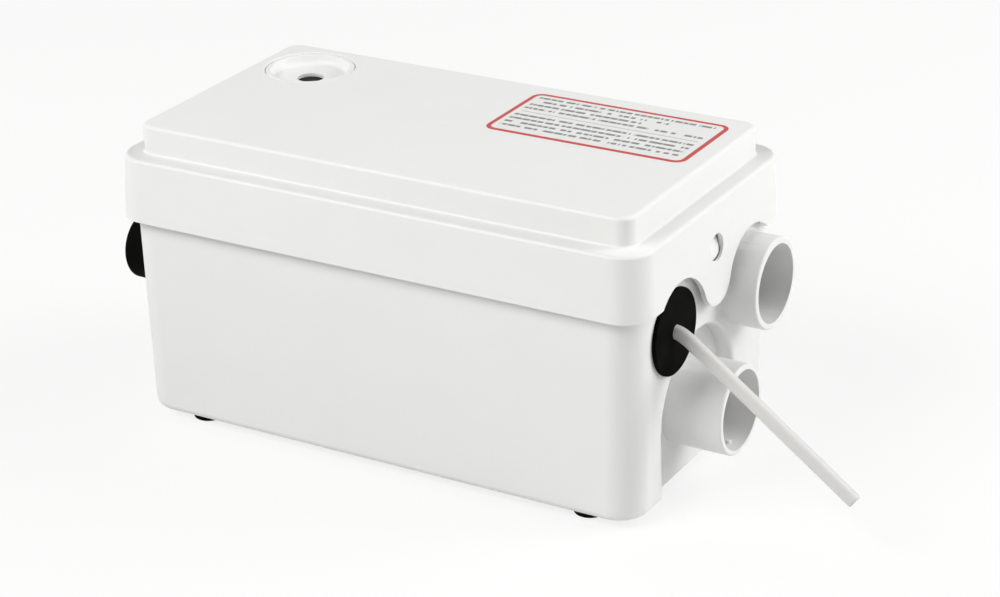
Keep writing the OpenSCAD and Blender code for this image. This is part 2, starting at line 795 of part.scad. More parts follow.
// Lid's outer form down to the tongues' tips
module lid_outer() {
    low_z = scallop_z - over;
    loft(concat(
        [loft_ring(lid_len / 2 + flare(low_z), lid_wid / 2 + flare(low_z), lid_corner_r, low_z)],
        cap_rings(lid_len / 2, lid_wid / 2, lid_corner_r, ledge_z, ledge_round)
    ));
    loft(concat(
        [loft_ring(top_len / 2 + top_foot_round, top_wid / 2 + top_foot_round,
            top_corner_r + top_foot_round,
            lid_under_z + lid_wall / 2)],
        [loft_ring(top_len / 2 + top_foot_round, top_wid / 2 + top_foot_round,
            top_corner_r + top_foot_round, ledge_z)],
        [loft_ring(top_len / 2, top_wid / 2, top_corner_r, ledge_z + top_foot_round)],
        cap_rings(top_len / 2, top_wid / 2, top_corner_r, top_z, top_round)
    ));
}

module lid_cavity() {
    low_z = scallop_z - 2 * over;
    loft([
        loft_ring(lid_len / 2 + flare(low_z) - lid_wall, lid_wid / 2 + flare(low_z) - lid_wall,
            lid_corner_r - lid_wall, low_z),
        loft_ring(lid_len / 2 - lid_wall, lid_wid / 2 - lid_wall, lid_corner_r - lid_wall, lid_under_z)
    ]);
    loft([
        loft_ring(top_len / 2 - lid_wall, top_wid / 2 - lid_wall, top_corner_r - lid_wall, rim_z),
        loft_ring(top_len / 2 - lid_wall, top_wid / 2 - lid_wall, top_corner_r - lid_wall, top_z - lid_wall)
    ]);
}

module lid() {
    vent_ledge_z = top_z - vent_cup_h;
    vent_floor_z = vent_ledge_z - filter_t - seat_clear;
    color("#e8e8e5") difference() {
        union() {
            difference() {
                lid_outer();
                lid_cavity();
                difference() {
                    block([-lid_len, -lid_wid, scallop_z - 3 * over], [lid_len, lid_wid, skirt_z]);
                    rotate([90, 0, 90]) translate([0, 0, -lid_len])
                        linear_extrude(2 * lid_len) tongue_outline();
                }
                for (y = [-scallop_y, scallop_y]) rod_x(-lid_len, lid_len, y, scallop_z, scallop_r);
            }
            translate([-vent_x, vent_y, vent_floor_z - lid_wall])
                cylinder(r = vent_pocket_r + lid_wall, h = top_z - lid_wall / 2 - vent_floor_z + lid_wall);
        }
        translate([-vent_x, vent_y, vent_ledge_z]) cylinder(r = vent_pocket_r, h = vent_cup_h + over);
        translate([-vent_x, vent_y, vent_floor_z]) cylinder(r = filter_r + seat_clear, h = filter_t + over);
        translate([-vent_x, vent_y, vent_floor_z - lid_wall - over])
            cylinder(r = vent_floor_r, h = lid_wall + 2 * over);
        rod_x(-lid_len, lid_len, 0, snap_z, snap_hole_r);
        for (side = [0, 1]) mirror([side, 0, 0])
            block([half_x(rim_z), -snap_hole_r, scallop_z - over],
                [snap_tip_x + free_gap, snap_hole_r, snap_z]);
    }
}

module charcoal_filter() {
    color("#8a8a86") translate([-vent_x, vent_y, top_z - vent_cup_h - filter_t - seat_clear])
        cylinder(r = filter_r, h = filter_t);
}

module vent_cup() {
    dish_r = vent_r - vent_rim;
    color("#e8e8e5") translate([-vent_x, vent_y, top_z - vent_cup_h]) difference() {
        cylinder(r = vent_r, h = vent_cup_h);
        translate([0, 0, vent_cup_h - vent_depth]) cylinder(r = dish_r, h = vent_depth + over);
        translate([0, 0, -over]) cylinder(r = vent_hole_r, h = vent_cup_h + over);
    }
}

// Cord and leads

module cord_grommet() {
    color("#0d0d0c") difference() {
        union() {
            rod_x(grommet_seat_x, grommet_face_x, -cord_y, cord_z, grommet_r);
            rod_x(grommet_in_x, grommet_seat_x, -cord_y, cord_z, grommet_neck_r);
            translate([grommet_in_x, -cord_y, cord_z]) rotate([0, -90, 0])
                cylinder(r1 = grommet_neck_r + grommet_barb, r2 = grommet_neck_r, h = wall);
            translate([grommet_in_x - wall, -cord_y, cord_z]) rotate([0, -90, 0])
                cylinder(r1 = cord_r * 2.5, r2 = cord_r * 1.5, h = grommet_in_x - wall - grommet_end_x);
        }
        rod_x(grommet_end_x - over, grommet_face_x + over, -cord_y, cord_z, cord_r);
    }
}

module mains_cord() {
    path = curve(cord_route, 2);
    color("#dddcd9") tube(path, cord_r, cord_sides, [1, 0, 0], heading(path, len(path) - 1));
}

module inner_lead() {
    color("#dddcd9") rod_x(inner_lead_end_x, grommet_face_x, -cord_y, cord_z, cord_r);
}

module motor_lead() {
    cover_z = motor_cover_z + motor_cover_t;
    near_x = -pump_x + housing_r / 2;
    edge_x = -pump_x + housing_r + rib_out;
    y0 = -pump_y - housing_r / 4;
    arc_z = cover_z + lead_arc_share * (top_z - lid_wall - cover_z);
    end = [box_x + box_wall, motor_lead_y, lead_z];
    turn = [box_x - lead_r, motor_lead_y, lead_z];
    route = [
        [near_x, y0, cover_z + lead_r],
        [near_x + 3 * lead_r, (3 * y0 + motor_lead_y) / 4, arc_z],
        [edge_x, (y0 + motor_lead_y) / 2, cover_z + 2 * lead_r],
        [(edge_x + box_x) / 2, (y0 + 3 * motor_lead_y) / 4, (2 * cover_z + 3 * lead_z) / 5],
        turn
    ];
    path = concat([[near_x, y0, cover_z]], curve(route, 4), [end]);
    color("#2a2a2a") tube(path, lead_r, lead_sides, [0, 0, 1], [1, 0, 0]);
}

module switch_lead() {
    start = [cheek_x1 + seat_clear, switch_y, micro_z + micro_h / 2];
    end = [switch_lead_x, box_y + box_wid - box_wall, lead_z];
    turn = [switch_lead_x, box_y + box_wid + lead_r, lead_z];
    out = [3 * lead_r, 0, 0];
    back = [0, 3 * lead_r, 0];
    middle = (start + out + turn + back) / 2;
    path = concat(curve([start, start + out, middle, turn + back, turn], 4), [end]);
    color("#2a2a2a") tube(path, lead_r, lead_sides, [1, 0, 0], [0, -1, 0]);
}

// Electrics on their deck

module deck() {
    color("#d5d5d0") difference() {
        block([deck_x, -deck_wid / 2, deck_under_z], [deck_x + deck_len, deck_wid / 2, deck_z]);
        translate([switch_x, switch_y, deck_under_z - over])
            cylinder(r = neck_r + free_gap, h = deck_t + 2 * over);
        for (x = [post_x0, post_x1], y = [-post_y, post_y])
            translate([x, y, deck_under_z - over])
                cylinder(r = screw_r + seat_clear, h = deck_t + 2 * over);
        for (a = switch_lug_angles) switch_lug_at(a) translate([0, 0, deck_under_z - over])
            cylinder(r = screw_r + seat_clear, h = deck_t + 2 * over);
    }
}

module deck_screws() {
    color("#b9bbbd") for (x = [post_x0, post_x1], y = [-post_y, post_y])
        screw(x, y, deck_z, deck_screw_len, screw_r, head_r, head_h);
}

// Places something at each corner post of the electrics box
module at_box_posts() {
    for (x = [box_x + box_post_in, box_x + box_len - box_post_in])
        for (y = [box_y + box_post_in, box_y + box_wid - box_post_in])
            translate([x, y, 0]) children();
}

module electrics_box() {
    color("#6d7072") difference() {
        union() {
            difference() {
                block([box_x, box_y, deck_z], [box_x + box_len, box_y + box_wid, box_top_z]);
                block([box_x + box_wall, box_y + box_wall, deck_z + box_wall],
                    [box_x + box_len - box_wall, box_y + box_wid - box_wall, box_top_z + over]);
            }
            at_box_posts() translate([0, 0, deck_z + box_wall / 2])
                cylinder(r = box_post_r, h = box_h - box_wall / 2);
        }
        at_box_posts() translate([0, 0, box_top_z - box_screw_grip - over])
            cylinder(r = screw_r + seat_clear, h = box_screw_grip + 2 * over);
        rod_x(box_x + box_len / 2, box_x + box_len + over, -cord_y, cord_z, cord_r + seat_clear);
        rod_x(box_x - over, box_x + box_wall + over, motor_lead_y, lead_z, lead_r + free_gap);
        rod_y(box_y + box_wid - box_wall - over, box_y + box_wid + over, switch_lead_x, lead_z,
            lead_r + free_gap);
    }
}

module electrics_cover() {
    color("#6d7072") difference() {
        block([box_x, box_y, box_top_z], [box_x + box_len, box_y + box_wid, box_top_z + box_cover_t]);
        at_box_posts() translate([0, 0, box_top_z - over])
            cylinder(r = screw_r + seat_clear, h = box_cover_t + 2 * over);
    }
}

module box_screws() {
    color("#b9bbbd") at_box_posts() screw(0, 0, box_top_z + box_cover_t, box_cover_t + box_screw_grip,
        screw_r, head_r, head_h);
}

module terminal_block() {
    cell = block_len / block_cells;
    color("#e4e1d6") translate([block_x, block_y, block_z]) difference() {
        cube([block_len, block_wid, block_h]);
        for (i = [0 : block_cells - 1], y = [block_wid / 4, block_wid * 3 / 4])
            translate([(i + 1 / 2) * cell, y, block_h / 2]) cylinder(r = screw_r + seat_clear, h = block_h);
        for (i = [1 : block_cells - 1])
            translate([i * cell - block_wid / 16, -over, block_h * 2 / 3])
                cube([block_wid / 8, block_wid + 2 * over, block_h]);
    }
}

module terminal_screws() {
    cell = block_len / block_cells;
    color("#c8c9ca") translate([block_x, block_y, block_z])
        for (i = [0 : block_cells - 1], y = [block_wid / 4, block_wid * 3 / 4])
            translate([(i + 1 / 2) * cell, y, block_h / 2]) difference() {
                cylinder(r = screw_r, h = block_h / 3);
                translate([-screw_r, -screw_r / 5, block_h / 4])
                    cube([2 * screw_r, screw_r * 2 / 5, block_h]);
            }
}

module run_capacitor() {
    color("#e9e9e4") {
        rod_x(can_x, can_x + cap_can_len, can_y, can_z, cap_can_r);
        rod_x(can_x + cap_can_len, can_x + cap_can_len + can_tip, can_y, can_z, cap_can_r / 2);
    }
}

module capacitor_clip() {
    x = can_x + (cap_can_len - clip_w) / 2;
    color("#b9bbbd") difference() {
        union() {
            rod_x(x, x + clip_w, can_y, can_z, cap_can_r + seat_clear + clip_t);
            block([x, can_y - cap_can_r, deck_z + box_wall],
                [x + clip_w, can_y + cap_can_r, deck_z + box_wall + clip_t]);
        }
        rod_x(x - over, x + clip_w + over, can_y, can_z, cap_can_r + seat_clear);
        block([x - over, can_y - cap_can_r, deck_z],
            [x + clip_w + over, can_y + cap_can_r, deck_z + box_wall]);
    }
}

// Pump

// Places something on the pump's axis
module at_pump() {
    translate([-pump_x, -pump_y, 0]) children();
}

module at_bolts() {
    for (a = bolt_angles) rotate(a) translate([bolt_ring_r, 0, 0]) children();
}

module pump_mounts() {
    color("#1b1b1b") at_pump() for (a = mount_angles) rotate(a)
        translate([volute_r - mount_r, 0, floor_z]) cylinder(r = mount_r, h = mount_h);
}

module strainer() {
    slot_w = 2.4;
    color("#4a4c4e") at_pump() difference() {
        ring(strainer_r, strainer_r - volute_wall / 2, suction_z - strainer_h, suction_z);
        for (a = [0 : 15 : 165]) rotate(a)
            translate([-strainer_r - over, -slot_w / 2, suction_z - strainer_h - over])
                cube([2 * (strainer_r + over), slot_w, strainer_h * 0.7 + over]);
    }
}

module suction_plate() {
    color("#3a3c3e") at_pump() difference() {
        union() {
            translate([0, 0, suction_z]) cylinder(r = volute_r, h = suction_t);
            at_bolts() translate([0, 0, suction_z]) cylinder(r = lug_r, h = suction_t);
        }
        translate([0, 0, suction_z - over]) cylinder(r = eye_r, h = suction_t + 2 * over);
        at_bolts() translate([0, 0, suction_z - over])
            cylinder(r = bolt_r + seat_clear, h = suction_t + 2 * over);
    }
}

module volute() {
    color("#3a3c3e") difference() {
        union() {
            at_pump() translate([0, 0, volute_z]) {
                cylinder(r = volute_r, h = volute_h);
                at_bolts() cylinder(r = lug_r, h = volute_h);
            }
            rod_x(pipe_end_x, -pump_x, -outlet_y, pipe_z, pipe_r);
        }
        at_pump() {
            translate([0, 0, volute_z - over]) cylinder(r = chamber_r, h = volute_h - volute_wall + over);
            translate([0, 0, volute_z]) cylinder(r = seal_hole_r, h = volute_h + over);
            at_bolts() translate([0, 0, volute_z - over])
                cylinder(r = bolt_r + seat_clear, h = volute_h + 2 * over);
        }
        rod_x(pipe_end_x - over, -pump_x, -outlet_y, pipe_z, pipe_bore_r);
    }
}

module pump_backplate() {
    color("#5a5d60") at_pump() difference() {
        union() {
            translate([0, 0, backplate_z]) cylinder(r = housing_r, h = backplate_t);
            at_bolts() translate([0, 0, backplate_z]) cylinder(r = lug_r, h = backplate_t);
            translate([0, 0, housing_z]) cylinder(r = bearing_seat_r, h = bearing_w);
        }
        translate([0, 0, backplate_z - over]) cylinder(r = seal_r + seat_clear, h = seal_seat_h + over);
        translate([0, 0, backplate_z]) cylinder(r = shaft_r + free_gap, h = backplate_t + over);
        translate([0, 0, lower_bearing_z]) cylinder(r = bearing_r + seat_clear, h = bearing_w + over);
        at_bolts() translate([0, 0, backplate_z - over])
            cylinder(r = bolt_r + seat_clear, h = backplate_t + 2 * over);
    }
}

module pump_bolts() {
    length = suction_t + volute_h + backplate_t + lug_h - 2 * over;
    color("#b9bbbd") at_pump() at_bolts() translate([0, 0, suction_z]) mirror([0, 0, 1])
        screw(0, 0, 0, length, bolt_r, bolt_r * 2, head_h);
}

module seal_seat() {
    color("#6b4a3a") at_pump()
        ring(seal_r, shaft_r + free_gap, seal_face_z, backplate_z + seal_seat_h - seat_clear);
}

module seal_ring() {
    color("#2d2d2f") at_pump()
        ring(seal_r - vane_gap / 2, shaft_r, seal_ring_z, seal_face_z - run_clear);
}

// One backward-curved vane, longer than the impeller's radius
module vane() {
    arc_r = impeller_r;
    difference() {
        translate([arc_r, -shaft_r, vane_z])
            cylinder(r = arc_r + vane_t / 2, h = vane_h + impeller_disc_t / 2);
        translate([arc_r, -shaft_r, vane_z - over])
            cylinder(r = arc_r - vane_t / 2, h = vane_h + impeller_disc_t);
        translate([-arc_r, -3 * arc_r - shaft_r, vane_z - over])
            cube([4 * arc_r, 3 * arc_r, vane_h + 2 * impeller_disc_t]);
    }
}

module impeller() {
    color("#d9d7cf") at_pump() difference() {
        union() {
            translate([0, 0, impeller_z]) cylinder(r = impeller_r, h = impeller_disc_t);
            translate([0, 0, vane_z + nut_h + free_gap]) cylinder(r = hub_r, h = vane_h - nut_h);
            intersection() {
                translate([0, 0, vane_z])
                    cylinder(r = impeller_r - vane_t / 2, h = vane_h + impeller_disc_t / 2);
                for (i = [0 : vane_count - 1]) rotate(i * 360 / vane_count) vane();
            }
        }
        translate([0, 0, vane_z - over]) cylinder(r = shaft_r, h = vane_h + impeller_disc_t + 2 * over);
        translate([0, 0, vane_z - over]) cylinder(r = hub_r, h = nut_h + free_gap + over);
    }
}

module impeller_nut() {
    color("#b9bbbd") at_pump() difference() {
        translate([0, 0, shaft_z]) cylinder(r = hub_r - free_gap, h = nut_h, $fn = 6);
        translate([0, 0, shaft_z - over]) cylinder(r = shaft_r, h = nut_h + 2 * over);
    }
}

// Motor

module motor_housing() {
    color("#9ea1a4") at_pump() difference() {
        union() {
            translate([0, 0, housing_z]) cylinder(r = housing_r, h = housing_h);
            at_bolts() translate([0, 0, housing_z + 2 * seat_clear]) cylinder(r = lug_r, h = lug_h);
            for (i = [0 : rib_count - 1]) rotate((i + 1 / 2) * 360 / rib_count)
                translate([housing_r - housing_wall / 2, -rib_out / 2, housing_z + lug_h + 2 * over])
                    cube([rib_out + housing_wall / 2, rib_out, housing_h - lug_h - 4 * over]);
            for (a = cover_screw_angles) rotate(a)
                translate([cover_screw_r, 0, motor_cover_z - lug_h])
                    cylinder(r = head_r + lug_wall, h = lug_h);
        }
        translate([0, 0, housing_z - over])
            cylinder(r = housing_r - housing_wall, h = housing_h + 2 * over);
        at_bolts() translate([0, 0, housing_z - over]) cylinder(r = bolt_r + seat_clear, h = lug_h);
        for (a = cover_screw_angles) rotate(a)
            translate([cover_screw_r, 0, motor_cover_z - lug_h / 2 - 2 * over])
                cylinder(r = screw_r + seat_clear, h = lug_h);
    }
}

module stator_core() {
    slots = 24;
    slot_r = 2;
    color("#8d9094") at_pump() difference() {
        ring(stator_r, stator_bore_r, stator_z, stator_z + stator_h);
        for (i = [0 : slots - 1]) rotate(i * 360 / slots)
            translate([(winding_in_r + winding_out_r) / 2, 0, stator_z - over])
                cylinder(r = slot_r, h = stator_h + 2 * over);
    }
}

module stator_winding() {
    mid_r = (winding_in_r + winding_out_r) / 2;
    half_w = (winding_out_r - winding_in_r) / 2;
    color("#b4602c") at_pump() for (z = [stator_z - winding_h, stator_z + stator_h])
        translate([0, 0, z]) rotate_extrude() {
            translate([winding_in_r, half_w / 3]) square([2 * half_w, winding_h - half_w * 2 / 3]);
            translate([winding_in_r + half_w / 3, 0]) square([half_w * 4 / 3, winding_h]);
            for (sx = [-1, 1], y = [half_w / 3, winding_h - half_w / 3])
                translate([mid_r + sx * half_w * 2 / 3, y]) circle(half_w / 3);
        }
}

module lower_bearing() {
    color("#c6c8ca") at_pump()
        ring(bearing_r, shaft_r + run_clear, lower_bearing_z, lower_bearing_z + bearing_w);
}

module upper_bearing() {
    color("#c6c8ca") at_pump()
        ring(bearing_r, shaft_r + run_clear, upper_bearing_z, motor_cover_z);
}

module motor_cover() {
    color("#9ea1a4") at_pump() difference() {
        union() {
            translate([0, 0, motor_cover_z]) cylinder(r = housing_r, h = motor_cover_t - 2 * over);
            translate([0, 0, motor_cover_z]) cylinder(r = housing_r - 2 * lug_r, h = motor_cover_t);
            ring(bearing_seat_r, bearing_r + seat_clear, upper_bearing_z, motor_cover_z + over);
            for (a = cover_screw_angles) rotate(a)
                translate([cover_screw_r, 0, motor_cover_z])
                    cylinder(r = head_r + lug_wall, h = motor_cover_t - 2 * over);
        }
        for (a = cover_screw_angles) rotate(a) translate([cover_screw_r, 0, motor_cover_z - over])
            cylinder(r = screw_r + seat_clear, h = motor_cover_t + 2 * over);
    }
}

module cover_screws() {
    length = motor_cover_t + lug_h / 2;
    color("#b9bbbd") at_pump() for (a = cover_screw_angles) rotate(a)
        screw(cover_screw_r, 0, motor_cover_z + motor_cover_t - 2 * over, length, screw_r, head_r,
            head_h);
}

module motor_shaft() {
    color("#c6c8ca") at_pump() translate([0, 0, shaft_z]) cylinder(r = shaft_r, h = shaft_top_z - shaft_z);
}

module rotor_core() {
    color("#777a7e") at_pump() ring(rotor_r, shaft_r, stator_z, stator_z + stator_h);
}

// Outlet side

module outlet_hose() {
    x0 = pipe_end_x + hose_grip;
    color("#1b1b1b") {
        difference() {
            rod_x(riser_x + hose_bend_r, x0, -outlet_y, pipe_z, hose_r);
            rod_x(riser_x + hose_bend_r - over, x0 + over, -outlet_y, pipe_z, hose_in_r);
        }
        translate([riser_x + hose_bend_r, riser_y, bend_top_z]) rotate([90, 0, 0])
            rotate([0, 0, 180]) rotate_extrude(angle = 90) translate([hose_bend_r, 0]) difference() {
                circle(hose_r);
                circle(hose_in_r);
            }
        translate([riser_x, riser_y, 0]) ring(hose_r, hose_in_r, bend_top_z, bend_top_z + hose_up);
    }
}

module hose_clips() {
    band = 6;
    band_t = 0.8;
    grip_x = pipe_end_x + hose_grip / 2;
    color("#c6c8ca") {
        difference() {
            rod_x(grip_x - band / 2, grip_x + band / 2, -outlet_y, pipe_z, hose_r + seat_clear + band_t);
            rod_x(grip_x - band, grip_x + band, -outlet_y, pipe_z, hose_r + seat_clear);
        }
        translate([riser_x, riser_y, bend_top_z + hose_up / 2 - band / 2])
            ring(hose_r + seat_clear + band_t, hose_r + seat_clear, 0, band);
    }
}

module valve_body() {
    color("#e3e2dc") difference() {
        union() {
            translate([riser_x, riser_y, valve_foot_z])
                cylinder(r = pipe_r, h = valve_z - valve_foot_z + over);
            translate([riser_x, riser_y, valve_z]) cylinder(r = valve_r, h = valve_h);
            rod_x(-spigot_wall_x, riser_x, -outlet_y, outlet_z, side_r);
        }
        translate([riser_x, riser_y, 0]) {
            translate([0, 0, valve_foot_z - over]) cylinder(r = pipe_bore_r, h = valve_h);
            difference() {
                translate([0, 0, valve_z + valve_wall]) cylinder(r = valve_bore_r, h = valve_h);
                translate([0, 0, valve_z]) cylinder(r = seat_r, h = seat_z - valve_z);
            }
        }
        rod_x(-spigot_tip_x, riser_x, -outlet_y, outlet_z, side_bore_r);
        rod_y(riser_y - flap_pin_half, riser_y + flap_pin_half, flap_pin_x, flap_pin_z, flap_pin_r);
    }
}

module valve_cap() {
    color("#e3e2dc") translate([riser_x, riser_y, 0]) {
        translate([0, 0, valve_top_z]) cylinder(r = valve_r + valve_cap_over, h = valve_cap_t);
        ring(valve_bore_r - seat_clear, valve_bore_r - valve_wall, valve_top_z - valve_cap_in,
            valve_top_z + over);
        translate([0, 0, valve_top_z + valve_cap_t / 2]) rotate(45)
            translate([-valve_r * 0.7, -valve_cap_t / 2, 0])
                cube([valve_r * 1.4, valve_cap_t, valve_cap_t * 1.5]);
    }
}

module flap_pin() {
    half = flap_pin_half - seat_clear;
    color("#c6c8ca") rod_y(riser_y - half, riser_y + half, flap_pin_x, flap_pin_z, flap_pin_r);
}

module check_flap() {
    z0 = seat_z + seat_clear;
    half = flap_knuckle_w / 2;
    color("#2d2d2f") difference() {
        union() {
            translate([riser_x, riser_y, z0]) cylinder(r = flap_r, h = flap_t);
            block([riser_x, riser_y - half, z0], [flap_pin_x, riser_y + half, z0 + flap_t]);
            rod_y(riser_y - half, riser_y + half, flap_pin_x, flap_pin_z, flap_knuckle_r);
        }
        rod_y(riser_y - half - over, riser_y + half + over, flap_pin_x, flap_pin_z, flap_pin_r + run_clear);
    }
}

module blanking_cap() {
    x0 = spigot_tip_x - cap_len + seat_clear;
    x1 = spigot_tip_x + seat_clear + cap_end;
    color("#0d0d0c") mirror([1, 0, 0]) difference() {
        spigot_x(x0, x1, -outlet_y, outlet_z, spigot_r + run_clear + cap_wall, rim_round);
        rod_x(x0 - over, spigot_tip_x + seat_clear, -outlet_y, outlet_z, spigot_r + run_clear);
    }
}

// Lower inlet's flap

module inlet_flap_pin() {
    half = inlet_knuckle_w / 2 + free_gap + ear_w;
    color("#c6c8ca") rod_y(-lower_y - half, -lower_y + half, inlet_pin_x, inlet_pin_z, inlet_pin_r);
}

module inlet_flap() {
    half = inlet_knuckle_w / 2;
    color("#2d2d2f") difference() {
        union() {
            rod_x(inlet_flap_x, inlet_flap_x + flap_t, -lower_y, lower_z, inlet_flap_r);
            block([inlet_flap_x, -lower_y - half, lower_z + inlet_flap_r / 2],
                [inlet_flap_x + flap_t, -lower_y + half, inlet_pin_z]);
            rod_y(-lower_y - half, -lower_y + half, inlet_pin_x, inlet_pin_z, inlet_knuckle_r);
        }
        rod_y(-lower_y - half - over, -lower_y + half + over, inlet_pin_x, inlet_pin_z,
            inlet_pin_r + run_clear);
    }
}

// Level switch

module at_switch() {
    translate([switch_x, switch_y, 0]) children();
}

module switch_lug_at(a) {
    translate([switch_x, switch_y, 0]) rotate(a) translate([switch_lug_r, 0, 0]) children();
}

module air_chamber() {
    color("#e3e2dc") at_switch() difference() {
        union() {
            translate([0, 0, air_z]) cylinder(r = air_r, h = deck_under_z - air_z);
            translate([0, 0, deck_under_z - air_flange_t]) cylinder(r = air_flange_r, h = air_flange_t);
            translate([0, 0, deck_under_z]) cylinder(r = neck_r, h = neck_top_z - deck_under_z);
        }
        translate([0, 0, air_z - over])
            cylinder(r = air_r - shell_wall, h = deck_under_z - air_z - air_flange_t + over);
        translate([0, 0, air_z]) cylinder(r = neck_bore_r, h = neck_top_z - air_z + over);
    }
}

module switch_base() {
    color("#3a3c3e") difference() {
        union() {
            at_switch() translate([0, 0, switch_base_z]) cylinder(r = switch_r, h = switch_base_h);
            for (a = switch_lug_angles) switch_lug_at(a)
                translate([0, 0, switch_base_z]) cylinder(r = head_r + lug_wall, h = switch_base_h);
        }
        at_switch() {
            translate([0, 0, switch_base_z + shell_wall])
                cylinder(r = diaphragm_r - shell_wall, h = switch_base_h);
            translate([0, 0, switch_base_z - over]) cylinder(r = neck_r + seat_clear, h = switch_base_h);
        }
        for (a = switch_lug_angles) switch_lug_at(a) translate([0, 0, switch_base_z - over])
            cylinder(r = screw_r + seat_clear, h = switch_base_h + 2 * over);
    }
}

module diaphragm() {
    color("#5b3230") at_switch() translate([0, 0, diaphragm_z]) {
        cylinder(r = diaphragm_r, h = diaphragm_t);
        cylinder(r = pad_r, h = diaphragm_t + pad_h - seat_clear);
    }
}

module switch_cover() {
    color("#3a3c3e") difference() {
        union() {
            at_switch() translate([0, 0, diaphragm_z])
                cylinder(r = switch_r, h = switch_cover_top_z - diaphragm_z);
            for (a = switch_lug_angles) switch_lug_at(a)
                translate([0, 0, diaphragm_z]) cylinder(r = head_r + lug_wall, h = switch_lug_h);
            for (side = [-1, 1])
                block([cheek_x0, switch_y + side * (cheek_y + cheek_t / 2) - cheek_t / 2,
                    switch_cover_top_z - over],
                    [cheek_x1, switch_y + side * (cheek_y + cheek_t / 2) + cheek_t / 2, micro_top_z]);
        }
        at_switch() {
            translate([0, 0, diaphragm_z - over])
                cylinder(r = diaphragm_r + seat_clear, h = diaphragm_t + over);
            translate([0, 0, diaphragm_z])
                cylinder(r = diaphragm_r - shell_wall, h = spring_top_z - diaphragm_z);
            translate([0, 0, diaphragm_z]) cylinder(r = plunger_r + run_clear, h = switch_cover_h * 2);
        }
        for (a = switch_lug_angles) switch_lug_at(a) translate([0, 0, diaphragm_z - over])
            cylinder(r = screw_r + seat_clear, h = switch_lug_h + 2 * over);
        rod_y(switch_y - tank_wid / 4, switch_y + tank_wid / 4, lever_pin_x, lever_z + lever_t / 2,
            lever_pin_r);
    }
}

module switch_spring() {
    color("#c6c8ca") at_switch() ring(spring_r, spring_in_r, spring_z, spring_top_z);
}

module switch_plunger() {
    color("#c9b98d") at_switch() {
        translate([0, 0, plunger_z]) cylinder(r = plunger_flange_r, h = plunger_flange_t);
        translate([0, 0, plunger_z]) cylinder(r = plunger_r, h = plunger_top_z - tip_h - plunger_z);
        translate([0, 0, plunger_top_z - tip_h]) cylinder(r = tip_r, h = tip_h);
    }
}

module microswitch() {
    color("#222426") difference() {
        block([micro_x, switch_y - micro_wid / 2, micro_z],
            [micro_x + micro_len, switch_y + micro_wid / 2, micro_top_z]);
        translate([button_x, switch_y, micro_z - over])
            cylinder(r = button_r + run_clear, h = button_top_z - micro_z + over + 2 * plunger_travel);
    }
}

module switch_button() {
    color("#b5342b") translate([button_x, switch_y, button_z])
        cylinder(r = button_r, h = button_top_z - button_z);
}

module lever_pin() {
    half = cheek_y + cheek_t;
    color("#c6c8ca") rod_y(switch_y - half, switch_y + half, lever_pin_x, lever_z + lever_t / 2,
        lever_pin_r);
}

module switch_lever() {
    color("#c6c8ca") difference() {
        union() {
            block([lever_pin_x, switch_y - lever_w / 2, lever_z],
                [lever_end_x, switch_y + lever_w / 2, lever_z + lever_t]);
            rod_y(switch_y - lever_w / 2, switch_y + lever_w / 2, lever_pin_x, lever_z + lever_t / 2,
                lever_knuckle_r);
        }
        rod_y(switch_y - lever_w, switch_y + lever_w, lever_pin_x, lever_z + lever_t / 2,
            lever_pin_r + run_clear);
    }
}

module switch_screws() {
    color("#b9bbbd") for (a = switch_lug_angles) switch_lug_at(a)
        screw(0, 0, diaphragm_z + switch_lug_h, switch_lug_h + switch_base_h + deck_t, screw_r, head_r,
            head_h);
}

tank();
feet();
lid_gasket();
cord_grommet();
mains_cord();
inner_lead();
deck();
deck_screws();
electrics_box();
electrics_cover();
box_screws();
terminal_block();
terminal_screws();
run_capacitor();
capacitor_clip();
motor_lead();
switch_lead();
pump_mounts();
strainer();
suction_plate();
volute();
pump_backplate();
pump_bolts();
seal_seat();
lower_bearing();
motor_housing();
stator_core();
stator_winding();
upper_bearing();
motor_cover();
cover_screws();
outlet_hose();
hose_clips();
valve_body();
valve_cap();
flap_pin();
inlet_flap_pin();
air_chamber();
switch_base();
diaphragm();
switch_cover();
switch_spring();
microswitch();
lever_pin();
switch_screws();
lid();
charcoal_filter();
vent_cup();
motor_shaft();
rotor_core();
impeller();
impeller_nut();
seal_ring();
blanking_cap();
check_flap();
inlet_flap();
switch_plunger();
switch_lever();
switch_button();
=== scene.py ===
import math

import bmesh
import bpy
from mathutils import Matrix, Vector


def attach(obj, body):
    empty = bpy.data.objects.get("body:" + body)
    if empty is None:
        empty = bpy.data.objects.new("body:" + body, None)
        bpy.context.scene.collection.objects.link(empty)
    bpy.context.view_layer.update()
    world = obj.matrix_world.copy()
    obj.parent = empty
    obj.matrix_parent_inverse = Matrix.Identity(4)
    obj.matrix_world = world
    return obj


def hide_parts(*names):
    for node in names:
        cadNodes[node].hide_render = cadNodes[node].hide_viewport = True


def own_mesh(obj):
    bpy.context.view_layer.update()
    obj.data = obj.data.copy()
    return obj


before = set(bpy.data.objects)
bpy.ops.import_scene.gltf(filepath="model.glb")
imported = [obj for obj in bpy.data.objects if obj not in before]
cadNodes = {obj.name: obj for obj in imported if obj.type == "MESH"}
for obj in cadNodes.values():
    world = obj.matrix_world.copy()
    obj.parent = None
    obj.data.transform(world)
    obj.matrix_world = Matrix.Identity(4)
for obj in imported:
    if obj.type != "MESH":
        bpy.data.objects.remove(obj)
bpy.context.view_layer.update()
scene = bpy.context.scene
mm = 0.001


